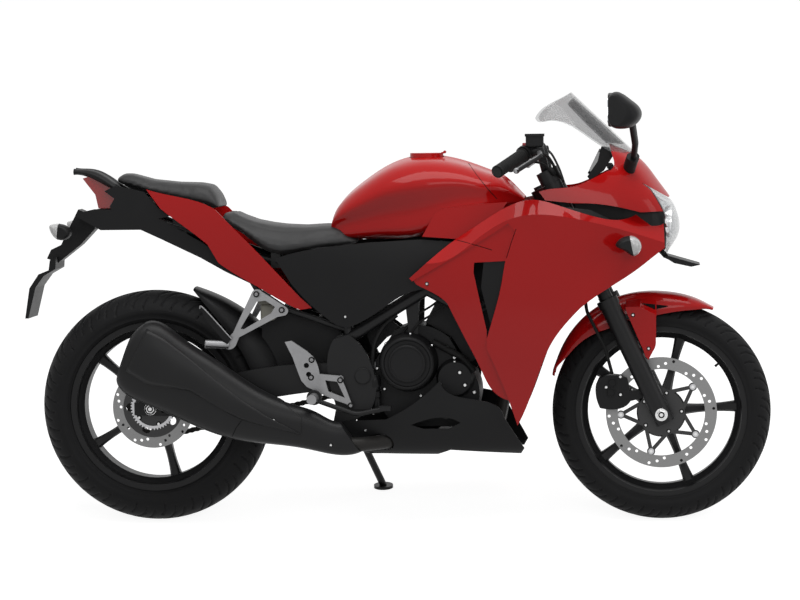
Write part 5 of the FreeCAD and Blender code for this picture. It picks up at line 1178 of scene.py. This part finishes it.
# Pixels along each line, and along both rails of each patch
TANK_COVER_GAP = ((468.5, 163.0), (476.0, 174.0), (487.0, 188.0), (497.0, 199.0))
FAIRING_GAPS = {
    "fairing_gap": ((457, 240), (470, 243.5), (492, 250)),
    "fairing_edge": ((516, 229), (511, 243), (506.5, 258)),
}
FENDER_SLOT = (((642.5, 303.6), (655, 304.6), (667.5, 305.8)),
               ((642.5, 304.2), (655, 309.6), (667.5, 306.6)))
SCREEN_BAND = (((572.5, 98), (598, 120), (624, 144)), ((567, 104), (586, 124), (606, 143)))
MUFFLER_SHIELD = (((147, 329), (164, 338), (189, 357.5), (214, 379), (244, 402), (268, 417), (299, 433.0)),
                  ((126, 371), (148, 384), (172, 387.5), (190, 390.5), (220, 408.5), (241.7, 419),
                   (299.6, 434.6)))
MUFFLER_SEAM = ((241.6, 420.5), (236, 428), (232, 436.8))
TANK_GAP_WIDTH, FAIRING_GAP_WIDTH, MUFFLER_SEAM_WIDTH = 2.4, 1.8, 2.0
SHIELD_STAND = 2.2
BAND_STAND = 0.3
LINE_STEP = 1.5
LINE_RISE = 0.35


def add_gap(name, node, pixels, width, *others, left=True):
    """A dark joint line along pixels, over a node and the others that it runs onto."""
    line = []
    for a, b in zip(pixels, pixels[1:]):
        steps = max(2, int(math.dist(a, b) / LINE_STEP))
        line += [between(a, b, k / steps) for k in range(steps)]
    line.append(pixels[-1])
    places = [seen_on(pixel, node, *others) for pixel in line]
    shape = bmesh.new()
    lay_line(shape, places, width)
    if left:
        lay_line(shape, [mirrored(place) for place in places], width)
    add_shape(name, shape, split_line, node, crease=60)


def lay_line(shape, places, width):
    """A thin diamond-shaped strip along places of a surface."""
    rings = []
    for k, (where, facing) in enumerate(places):
        before, after = places[max(k - 1, 0)][0], places[min(k + 1, len(places) - 1)][0]
        aside = (after - before).cross(facing).normalized() * width / 2 * MM
        lift = facing * LINE_RISE * MM
        rings.append([where - aside, where + lift, where + aside, where - lift])
    loft(shape, rings)


def add_patch(name, node, rails, maker, stand=0.6, rows=16, across=5, left=True):
    """A thin patch on a node between two rails of pixels."""
    grid = []
    for i in range(rows + 1):
        top, low = [on_rail(rail, i / rows) for rail in rails]
        grid.append([seen_on(between(top, low, j / across), node) for j in range(across + 1)])
    shape = bmesh.new()
    lay_patch(shape, grid, stand)
    if left:
        lay_patch(shape, [[mirrored(place) for place in line] for line in grid], stand)
    thicken(add_shape(name, shape, maker, node, crease=60), stand * 2, 0)


def on_rail(rail, share):
    """A pixel part of the way along a rail of pixels."""
    place = share * (len(rail) - 1)
    k = min(int(place), len(rail) - 2)
    return between(rail[k], rail[k + 1], place - k)


def lay_patch(shape, grid, stand):
    rows = [[shape.verts.new(where + facing * stand * MM) for where, facing in line] for line in grid]
    for first, second in zip(rows, rows[1:]):
        for k in range(len(first) - 1):
            shape.faces.new((first[k], first[k + 1], second[k + 1], second[k]))


def add_panel_gaps():
    """Joint lines of the tank's cover and of the side fairing."""
    add_gap("tank_cover_gap", "tank_shrouds", TANK_COVER_GAP, TANK_GAP_WIDTH, "fuel_tank")
    for name, pixels in FAIRING_GAPS.items():
        add_gap(name, "side_fairings", pixels, FAIRING_GAP_WIDTH, "mid_fairings", "tank_shrouds")


def add_muffler_cover():
    """The muffler's heat shield and the seam under it."""
    add_gap("muffler_seam", "muffler", MUFFLER_SEAM, MUFFLER_SEAM_WIDTH, left=False)
    add_patch("muffler_shield", "muffler", MUFFLER_SHIELD, black_metal, SHIELD_STAND,
              rows=40, across=10, left=False)


# Lamps and mirrors

# How far back a face of the lamp may look and still be lens, as x of its way out
LENS_LOOKS_BACK = -0.25
LENS_WALL = 2.6
BOWL_BEHIND, BOWL_WALL = 14, 2
REFLECTOR_FROM, REFLECTOR_TO = (1352, 46, 806), (1396, 42, 802)
REFLECTOR = ((0, 12), (0.1, 24), (0.4, 36), (0.8, 41), (1, 42), (1, 40.5), (0.8, 39), (0.4, 34),
             (0.15, 22), (0.12, 9), (0.5, 7), (0.62, 4))
# Where each indicator's lens begins, and which way it looks
INDICATOR_LENSES = {"front": ((1296, 0, 745), (1, 0, 0.2)), "rear": ((-240, 0, 795), (-1, 0, 0.1))}
INDICATOR_PROUD, INDICATOR_WALL = 0.7, 1.2
MIRROR_OUTLINE = ((246, 1080), (252, 1072), (300, 1069), (334, 1074), (342, 1084), (342, 1116),
                  (334, 1130), (296, 1134), (254, 1128), (246, 1118))
MIRROR_MIDDLE = (294, 1101)
MIRROR_GLASS_X = (1236.4, 1239.5)
# The frame's rings: x and share of the outline, and how much taller than the glass it is
MIRROR_FRAME = ((1238, 1.0), (1241, 1.06), (1262, 1.06), (1276, 0.9))
MIRROR_FRAME_TALL = 1.27
NOSE_DUCT = ((575, 201), (600, 205), (622, 207), (644, 212), (644, 224), (618, 224), (596, 218),
             (575, 211))
NOSE_DUCT_FAR, NOSE_DUCT_THICK = 108, 3


def looks_ahead(way):
    return way.x > LENS_LOOKS_BACK


def add_headlamp():
    """A clear outer lens over a bright bowl with two reflectors."""
    lens = skin_of("headlamp_lens", "headlamp", clear_lens, 0, LENS_WALL, keep=looks_ahead)
    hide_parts("headlamp")
    skin_of("headlamp_bowl", "headlamp", lamp_chrome, -BOWL_BEHIND, BOWL_WALL, keep=looks_ahead)
    shape = bmesh.new()
    for side in (RIGHT, LEFT):
        ends = [spot(x, side * y, z) for x, y, z in (REFLECTOR_FROM, REFLECTOR_TO)]
        add_rod(shape, *ends, REFLECTOR, sides=40)
    add_shape("headlamp_reflectors", shape, lamp_chrome, "headlamp")


def add_indicator_lenses():
    for end, cut in INDICATOR_LENSES.items():
        skin_of(end + "_indicator_lenses", end + "_indicators", milky_lens,
                INDICATOR_PROUD, INDICATOR_WALL, cut)


def add_mirror_glass():
    for side, ending in ((RIGHT, "right"), (LEFT, "left")):
        shape = bmesh.new()
        loft(shape, [[spot(x, side * y, z) for y, z in MIRROR_OUTLINE] for x in MIRROR_GLASS_X])
        add_shape("mirror_glass_" + ending, shape, mirror_glass, "mirrors")


def add_mirror_frames():
    """The rounded frame that holds each glass, filling the back of the shell."""
    shape = bmesh.new()
    mid_y, mid_z = MIRROR_MIDDLE
    for side in (RIGHT, LEFT):
        rings = []
        for x, wide in MIRROR_FRAME:
            tall = wide * MIRROR_FRAME_TALL
            rings.append([spot(x, side * (mid_y + (y - mid_y) * wide), mid_z + (z - mid_z) * tall)
                          for y, z in MIRROR_OUTLINE])
        loft(shape, rings)
    add_shape("mirror_frames", shape, black_plastic, "mirrors", crease=40)


def add_nose_duct():
    """The dark inner panel between the nose and the side panels, held by the lamp's housing."""
    add_panel_pair("nose_duct", NOSE_DUCT, NOSE_DUCT_FAR, NOSE_DUCT_THICK, black_plastic,
                   "lamp_housing")


# Bars and dash

RAKE = math.radians(25)
# A place by the fork is how far up its legs from the axle, y and how far ahead of them
BAR_ENDS = ((784, 196, -8), (768, 342, -104))
# A grip's ends as shares of the bar, and its ribs' start and run as shares of the grip
GRIP_FROM, GRIP_TO = 0.22, 0.985
GRIP_RIBS_FROM, GRIP_RIBS_RUN = 0.06, 0.86
GRIP_FLANGE = ((0, 16), (0.004, 17.5), (0.03, 17.5), (0.034, 15.6))
GRIP_RIB = ((0, 15.5), (0.006, 16.5), (0.034, 16.5), (0.04, 15.5))
GRIP_END = ((0.95, 15.6), (0.955, 17), (0.995, 17), (1, 16))
WEIGHT_FROM = 0.986
BAR_WEIGHT = ((0, 13), (0.7, 13), (1, 11))
# A lever's line: share along the bar and distance ahead of it. The ball at its end is turned by angles
LEVER_LINE = ((0.1, 40), (0.3, 61), (0.62, 59.5), (0.97, 56))
LEVER_RADIUS, LEVER_TIP_RADIUS = 6.8, 6.2
LEVER_BALL = 8
LEVER_BALL_BACK = 6
BALL_ANGLES = (-1.5, -1.1, -0.7, -0.3, 0.1, 0.5, 0.9, 1.2, 1.5)
# Buttons: share along the bar, height over it, distance behind it and radius
BUTTONS = ((0.09, 10, 17, 5), (0.13, -2, 19.5, 6.5), (0.18, 8, 18, 4))
BUTTON_TALL = 5
STOP_SWITCH = ((0, 8), (0.7, 8), (1, 6.5))
STOP_SWITCH_AT, STOP_SWITCH_OVER, STOP_SWITCH_TALL = 0.14, 19, 7
# Lines from the controls to the yoke: where on the bar they start, then places by the fork
THROTTLE_START, THROTTLE_DROP = 0.16, 20
LEVER_LINE_START, LEVER_LINE_AHEAD = 0.1, 46
CABLE_RADIUS, BRAKE_LINE_RADIUS = 3.2, 4.0
THROTTLE_ROUTE = ((736, 152, 4), (700, 124, 16), (664, 84, 22))
LEVER_ROUTE = ((744, 160, 26), (704, 124, 28), (668, 70, 26))
# The dash's face, from its low edge to its high edge; outlines on it are pairs of y and height,
# and each thing on it runs from one distance out of the face to another
DASH_LOW, DASH_HIGH = Vector((1177.6, 0, 925.4)), Vector((1215.4, 0, 1003.4))
GLASS_FROM, GLASS_TO = -10, 2.4
MARKS_FROM, MARKS_TO = 2.3, 2.9
NEEDLE_FROM, NEEDLE_TO = 2.6, 3.2
DASH_GLASS = ((-68, 8), (68, 8), (72, 16), (66, 72), (52, 80), (-52, 80), (-66, 72), (-72, 16))
DIAL_Y, DIAL_UP = -18, 44
DIAL_MARKS = 13
DIAL_START, DIAL_SWEEP = 225, 270
MARK_FROM, LONG_MARK_FROM, MARK_TO = 26, 22, 30
MARK_HALF_ANGLE = math.radians(1.8)
NEEDLE_ANGLE, NEEDLE_LONG, NEEDLE_HALF = 4.2, 24, 3


def fork_at(up, y, ahead):
    """A point beside the fork on the upright bike: up the legs from the axle, and ahead."""
    return Vector((WHEELBASE - math.sin(RAKE) * up + math.cos(RAKE) * ahead, y,
                   FRONT_TYRE_RADIUS + math.cos(RAKE) * up + math.sin(RAKE) * ahead))


def on_bar(share, side):
    """A point of the straight end of a bar."""
    ends = [fork_at(up, side * y, ahead) for up, y, ahead in BAR_ENDS]
    return ends[0].lerp(ends[1], share)


def ahead_of_bar(side):
    way = (on_bar(1, side) - on_bar(0, side)).normalized().cross(Vector((0, 0, 1)))
    return way if way.x > 0 else -way


def grip_profile():
    profile = [*GRIP_FLANGE]
    ribs = fine_sizes().grip_ribs
    for k in range(ribs):
        at = GRIP_RIBS_FROM + GRIP_RIBS_RUN * k / ribs
        profile += [(at + along, radius) for along, radius in GRIP_RIB]
    return [*profile, *GRIP_END]


def add_grips():
    """Ribbed rubber sleeves with a flange, and the bars' end weights."""
    grips, weights = bmesh.new(), bmesh.new()
    for side in (RIGHT, LEFT):
        grip_ends = [spot(*on_bar(share, side)) for share in (GRIP_FROM, GRIP_TO)]
        add_rod(grips, *grip_ends, grip_profile(), sides=32)
        weight_ends = [spot(*on_bar(share, side)) for share in (WEIGHT_FROM, 1.0)]
        add_rod(weights, *weight_ends, BAR_WEIGHT, sides=32)
    add_shape("ribbed_grips", grips, soft_rubber, "grips", crease=25, replaces=["grips"])
    add_shape("bar_ends", weights, black_metal, "handlebars")


def add_levers():
    """Round alloy blades with a ball at the end, over the levers' cores."""
    ball = [((1 + math.sin(a)) / 2, LEVER_BALL * math.cos(a)) for a in BALL_ANGLES]
    for side, name in ((RIGHT, "brake_lever"), (LEFT, "clutch_lever")):
        way = ahead_of_bar(side)
        line = [spot(*(on_bar(share, side) + way * ahead)) for share, ahead in LEVER_LINE]
        shape = bmesh.new()
        add_hose(shape, line, LEVER_RADIUS, sides=16, end_radius=LEVER_TIP_RADIUS)
        way_out = (line[-1] - line[-2]).normalized()
        tip, along = line[-1] - way_out * LEVER_BALL_BACK * MM, way_out * LEVER_BALL * MM
        add_rod(shape, tip - along, tip + along, ball)
        add_shape(name, shape, silver_casting, "hand_controls", crease=40)


def add_switches():
    """Buttons on the switch housings, with the stop switch in red."""
    up = Vector((0, 0, 1))
    buttons, stop = bmesh.new(), bmesh.new()
    for side in (RIGHT, LEFT):
        back = -ahead_of_bar(side)
        for share, over, behind, radius in BUTTONS:
            at = on_bar(share, side) + up * over + back * behind
            add_rod(buttons, spot(*at), spot(*(at + back * BUTTON_TALL)),
                    ((0, radius), (0.7, radius), (1, radius * 0.8)), sides=20)
    knob = on_bar(STOP_SWITCH_AT, RIGHT) + up * STOP_SWITCH_OVER
    add_rod(stop, spot(*knob), spot(*(knob + up * STOP_SWITCH_TALL)), STOP_SWITCH, sides=20)
    add_shape("switch_buttons", buttons, smooth_plastic, "hand_controls")
    add_shape("stop_switch", stop, switch_red, "hand_controls")


def add_control_cables():
    """Cables and the brake line from the controls to the yoke."""
    start = on_bar(THROTTLE_START, RIGHT) + Vector((0, 0, -THROTTLE_DROP))
    add_cable("throttle_cables", start, THROTTLE_ROUTE, RIGHT, CABLE_RADIUS)
    for name, side, radius in (("brake_line", RIGHT, BRAKE_LINE_RADIUS),
                               ("clutch_line", LEFT, CABLE_RADIUS)):
        start = on_bar(LEVER_LINE_START, side) + ahead_of_bar(side) * LEVER_LINE_AHEAD
        add_cable(name, start, LEVER_ROUTE, side, radius)


def add_cable(name, start, route, side, radius):
    points = [start, *(fork_at(up, side * y, ahead) for up, y, ahead in route)]
    add_rubber_hose(name, [spot(*point) for point in points], radius, "hand_controls")


def dash_point(y, up, proud):
    """A point of the dash's face, moved out of it by proud."""
    rise = (DASH_HIGH - DASH_LOW).normalized()
    out = Vector((-rise.z, 0, rise.x))
    return spot(*(DASH_LOW + rise * up + out * proud + Vector((0, y, 0))))


def lay_on_dash(shape, outline, low, high):
    loft(shape, [[dash_point(y, up, proud) for y, up in outline] for proud in (low, high)])


def dial_mark(k):
    """The outline of one mark round the dial: every third is longer."""
    angle = math.radians(DIAL_START - DIAL_SWEEP * k / (DIAL_MARKS - 1))
    inner = LONG_MARK_FROM if k % 3 == 0 else MARK_FROM
    ring = ((inner, -MARK_HALF_ANGLE), (MARK_TO, -MARK_HALF_ANGLE), (MARK_TO, MARK_HALF_ANGLE),
            (inner, MARK_HALF_ANGLE))
    return [(DIAL_Y - r * math.cos(angle + a), DIAL_UP + r * math.sin(angle + a)) for r, a in ring]


def add_dash():
    """A dark glass with one round dial and its marks, facing the rider."""
    glass, marks = bmesh.new(), bmesh.new()
    lay_on_dash(glass, DASH_GLASS, GLASS_FROM, GLASS_TO)
    for k in range(DIAL_MARKS):
        lay_on_dash(marks, dial_mark(k), MARKS_FROM, MARKS_TO)
    tip = (DIAL_Y + NEEDLE_LONG * math.cos(NEEDLE_ANGLE),
           DIAL_UP + NEEDLE_LONG * math.sin(NEEDLE_ANGLE))
    needle = [(DIAL_Y - NEEDLE_HALF, DIAL_UP), tip, (DIAL_Y + NEEDLE_HALF, DIAL_UP)]
    lay_on_dash(marks, needle, NEEDLE_FROM, NEEDLE_TO)
    add_shape("dash_glass", glass, dial_glass, "dash")
    add_shape("dial_marks", marks, dial_white, "dash")


# Guard at the passenger's step

BLADE_OUTLINE = ((198.6, 306.8), (203.5, 308.4), (231.5, 339.0), (227.0, 344.5), (207.5, 322.0))
BLADE_FACES = (-137, -147)
BLADE_EDGE = ((199.5, 308.6), (203.4, 308.2), (231.4, 338.8))
BLADE_EDGE_Y = -147.5
BLADE_EDGE_RADIUS = 2.0


def add_step_guard():
    """The black guard blade with a bright edge beside the passenger's step."""
    blade, edge = bmesh.new(), bmesh.new()
    loft(blade, [[seen_at(pixel, y) for pixel in BLADE_OUTLINE] for y in BLADE_FACES])
    add_shape("guard_blade", blade, black_plastic, "pillion_steps")
    add_hose(edge, [seen_at(pixel, BLADE_EDGE_Y) for pixel in BLADE_EDGE], BLADE_EDGE_RADIUS, sides=10)
    add_shape("guard_edge", edge, silver_casting, "pillion_steps")


# Stage

def add_camera():
    data = bpy.data.cameras.new("camera")
    data.sensor_width = SENSOR_MM
    data.lens = FOCAL_PIXELS / IMAGE_WIDTH * SENSOR_MM
    camera = bpy.data.objects.new("camera", data)
    right, up = Vector(CAMERA_RIGHT).normalized(), Vector(CAMERA_UP).normalized()
    turn = Matrix((right, up, right.cross(up))).transposed().to_4x4()
    camera.matrix_world = BIKE @ Matrix.Translation(CAMERA_AT) @ turn
    bpy.context.scene.collection.objects.link(camera)
    bpy.context.scene.camera = camera


def add_lamp(name, at, target, size, power):
    data = bpy.data.lights.new(name, "AREA")
    data.shape = "RECTANGLE"
    data.size, data.size_y = size
    data.energy = power
    lamp = bpy.data.objects.new(name, data)
    turn = (Vector(target) - Vector(at)).to_track_quat("-Z", "Y").to_matrix().to_4x4()
    lamp.matrix_world = Matrix.Translation(at) @ turn
    bpy.context.scene.collection.objects.link(lamp)


def shown_rays(tree):
    """1 for rays that show the background: from the camera, off gloss and through glass."""
    rays = tree.nodes.new("ShaderNodeLightPath")
    shown = rays.outputs["Is Camera Ray"]
    for name in ("Is Glossy Ray", "Is Transmission Ray"):
        either = tree.nodes.new("ShaderNodeMath")
        either.operation = "MAXIMUM"
        tree.links.new(shown, either.inputs[0])
        tree.links.new(rays.outputs[name], either.inputs[1])
        shown = either.outputs[0]
    return shown


def add_world():
    """Even light all round, and a white background where it shows."""
    world = bpy.data.worlds.new("studio")
    world.use_nodes = True
    tree = world.node_tree
    strength = tree.nodes.new("ShaderNodeMapRange")
    strength.inputs["To Min"].default_value = colours().world_light
    strength.inputs["To Max"].default_value = 1.0
    tree.links.new(shown_rays(tree), strength.inputs["Value"])
    back = tree.nodes["Background"]
    back.inputs["Color"].default_value = (1, 1, 1, 1)
    tree.links.new(strength.outputs["Result"], back.inputs["Strength"])
    bpy.context.scene.world = world


def add_floor():
    """A white floor: it takes the shadow, and adds its own white where it shows."""
    far = FLOOR_HALF
    mesh = bpy.data.meshes.new("floor")
    mesh.from_pydata([(-far, -far, 0), (far, -far, 0), (far, far, 0), (-far, far, 0)], [], [(0, 1, 2, 3)])
    floor = bpy.data.objects.new("floor", mesh)
    bpy.context.scene.collection.objects.link(floor)
    finish = Finish("floor_white", base_color=(0.5, 0.5, 0.5), roughness=0.8, specular_ior_level=0.0,
                    emission_strength=1.0)
    shown = Value(finish, shown_rays(finish.tree))
    finish.set(emission_color=finish.mix(shown, (0, 0, 0), [colours().floor_white] * 3))
    mesh.materials.append(finish.material)


# Settings, operators and panel

def colour_setting(name, description, value):
    return bpy.props.FloatVectorProperty(name=name, description=description, subtype="COLOR", default=value,
                                         min=0, max=1)


def level_setting(name, description, value, most):
    return bpy.props.FloatProperty(name=name, description=description, subtype="FACTOR", default=value,
                                   min=0, max=most)


def length_setting(name, description, value):
    return bpy.props.FloatProperty(name=name, description=description, subtype="DISTANCE", unit="LENGTH",
                                   default=value, min=0.0001, max=0.02, precision=4)


class MotoColours(bpy.types.PropertyGroup):
    """Colours of the finishes and levels of the studio light"""
    paint: colour_setting("Paint", "Body paint", (0.48, 0.005, 0.005))
    plastic: colour_setting("Plastic", "Moulded panels", (0.010, 0.010, 0.0105))
    coated_metal: colour_setting("Coated metal", "Wheels, frame and brackets", (0.009, 0.009, 0.0095))
    casting: colour_setting("Casting", "Engine castings", (0.009, 0.009, 0.0095))
    silver: colour_setting("Silver", "Bare cast alloy", (0.26, 0.26, 0.265))
    tyre: colour_setting("Tyre", "Road rubber", (0.012, 0.012, 0.0125))
    vinyl: colour_setting("Vinyl", "Seat cover", (0.02, 0.02, 0.0205))
    world_light: level_setting("World light", "Even light from all round", 0.2, 2)
    floor_white: level_setting("Floor white", "White the floor adds where it shows", 0.9, 1)


class MotoSizes(bpy.types.PropertyGroup):
    """Sizes of the fine pieces"""
    groove_depth: length_setting("Groove depth", "Depth of the tread's grooves", 0.0032)
    seat_cell: length_setting("Seat cell", "Cell size of the remeshed seat covers", 0.006)
    seat_swell: length_setting("Seat swell", "Most that the foam swells under its cover", 0.004)
    grip_ribs: bpy.props.IntProperty(name="Grip ribs", description="Ribs round each grip", default=17,
                                     min=1, max=20)


class MOTO_OT_stage(bpy.types.Operator):
    """Floor, lamps, world and the photograph's camera"""
    bl_idname = "moto.stage"
    bl_label = "Stage"

    def execute(self, context):
        context.scene.view_settings.view_transform = "Standard"
        context.scene.render.resolution_x = IMAGE_WIDTH
        context.scene.render.resolution_y = IMAGE_HEIGHT
        add_camera()
        add_world()
        for name, settings in LAMPS.items():
            add_lamp(name, *settings)
        add_floor()
        return {"FINISHED"}


class MOTO_OT_finishes(bpy.types.Operator):
    """Finishes on the frame's own pieces"""
    bl_idname = "moto.finishes"
    bl_label = "Finishes"

    def execute(self, context):
        dress_nodes()
        return {"FINISHED"}


class MOTO_OT_tyres(bpy.types.Operator):
    """Tyres with cut tread, and their valves"""
    bl_idname = "moto.tyres"
    bl_label = "Tyres"

    def execute(self, context):
        for node, sizes in TYRES.items():
            add_tyre(node, *sizes)
        add_valve("front_valve", FRONT_AXLE, "front_rim")
        add_valve("rear_valve", REAR_AXLE, "rear_rim")
        return {"FINISHED"}


class MOTO_OT_seats(bpy.types.Operator):
    """Both seat pads, with foam under vinyl"""
    bl_idname = "moto.seats"
    bl_label = "Seats"

    def execute(self, context):
        add_seat("rider_seat", RIDER_STATIONS)
        add_seat("pillion_seat", PILLION_STATIONS)
        return {"FINISHED"}


class MOTO_OT_fasteners(bpy.types.Operator):
    """Screws, bolts, axle nuts and the speed ring"""
    bl_idname = "moto.fasteners"
    bl_label = "Fasteners"

    def execute(self, context):
        add_seen_screws(SEEN_SCREWS, "_screws", bright_screw, *PANEL_SCREW)
        add_seen_screws(SEEN_STEP_BOLTS, "_bolts", silver_casting, *STEP_BOLT)
        add_seen_screws(SEEN_ENGINE_BOLTS, "_bolts", bright_screw, *ENGINE_BOLT)
        add_bobbins()
        add_brake_bolts()
        add_axle_nuts()
        add_speed_ring()
        return {"FINISHED"}


class MOTO_OT_engine_side(bpy.types.Operator):
    """Covers, caps, hoses and bolts beside the engine, and the front caliper's details"""
    bl_idname = "moto.engine_side"
    bl_label = "Engine side"

    def execute(self, context):
        add_clutch_rings()
        add_pivot_caps()
        add_brake_pump()
        add_engine_hoses()
        add_case_bolts()
        add_inner_panels()
        add_caliper_details()
        return {"FINISHED"}


class MOTO_OT_lamps(bpy.types.Operator):
    """Lenses and reflectors of the lamps, and the mirrors' glass and frames"""
    bl_idname = "moto.lamps"
    bl_label = "Lamps and mirrors"

    def execute(self, context):
        add_headlamp()
        add_indicator_lenses()
        add_mirror_glass()
        add_mirror_frames()
        return {"FINISHED"}


class MOTO_OT_controls(bpy.types.Operator):
    """Grips, levers, switches, cables and the dash"""
    bl_idname = "moto.controls"
    bl_label = "Controls"

    def execute(self, context):
        add_grips()
        add_levers()
        add_switches()
        add_control_cables()
        add_dash()
        return {"FINISHED"}


class MOTO_OT_trim(bpy.types.Operator):
    """Panel gaps, the screen's band, the muffler's cover, the fender's slot, the guard and the duct"""
    bl_idname = "moto.trim"
    bl_label = "Trim"

    def execute(self, context):
        add_panel_gaps()
        add_patch("screen_band", "windscreen", SCREEN_BAND, smoked_band, BAND_STAND)
        add_muffler_cover()
        add_patch("fender_slot", "front_fender", FENDER_SLOT, split_line)
        add_step_guard()
        add_nose_duct()
        return {"FINISHED"}


class MOTO_PT_panel(bpy.types.Panel):
    """Lists the steps that dress the motorcycle"""
    bl_label = "Motorcycle"
    bl_idname = "MOTO_PT_panel"
    bl_space_type = "VIEW_3D"
    bl_region_type = "UI"
    bl_category = "Motorcycle"

    def draw(self, context):
        for operator in STEPS:
            self.layout.operator(operator.bl_idname)


STEPS = (MOTO_OT_stage, MOTO_OT_finishes, MOTO_OT_tyres, MOTO_OT_seats, MOTO_OT_fasteners,
         MOTO_OT_engine_side, MOTO_OT_lamps, MOTO_OT_controls, MOTO_OT_trim)
CLASSES = (MotoColours, MotoSizes, *STEPS, MOTO_PT_panel)


def register():
    for made in CLASSES:
        bpy.utils.register_class(made)
    bpy.types.Scene.moto_colours = bpy.props.PointerProperty(type=MotoColours)
    bpy.types.Scene.moto_sizes = bpy.props.PointerProperty(type=MotoSizes)


def unregister():
    del bpy.types.Scene.moto_colours
    del bpy.types.Scene.moto_sizes
    for made in reversed(CLASSES):
        bpy.utils.unregister_class(made)


def main():
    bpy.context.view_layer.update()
    register()
    for operator in STEPS:
        group, name = operator.bl_idname.split(".")
        getattr(getattr(bpy.ops, group), name)()


if __name__ == "__main__":
    main()
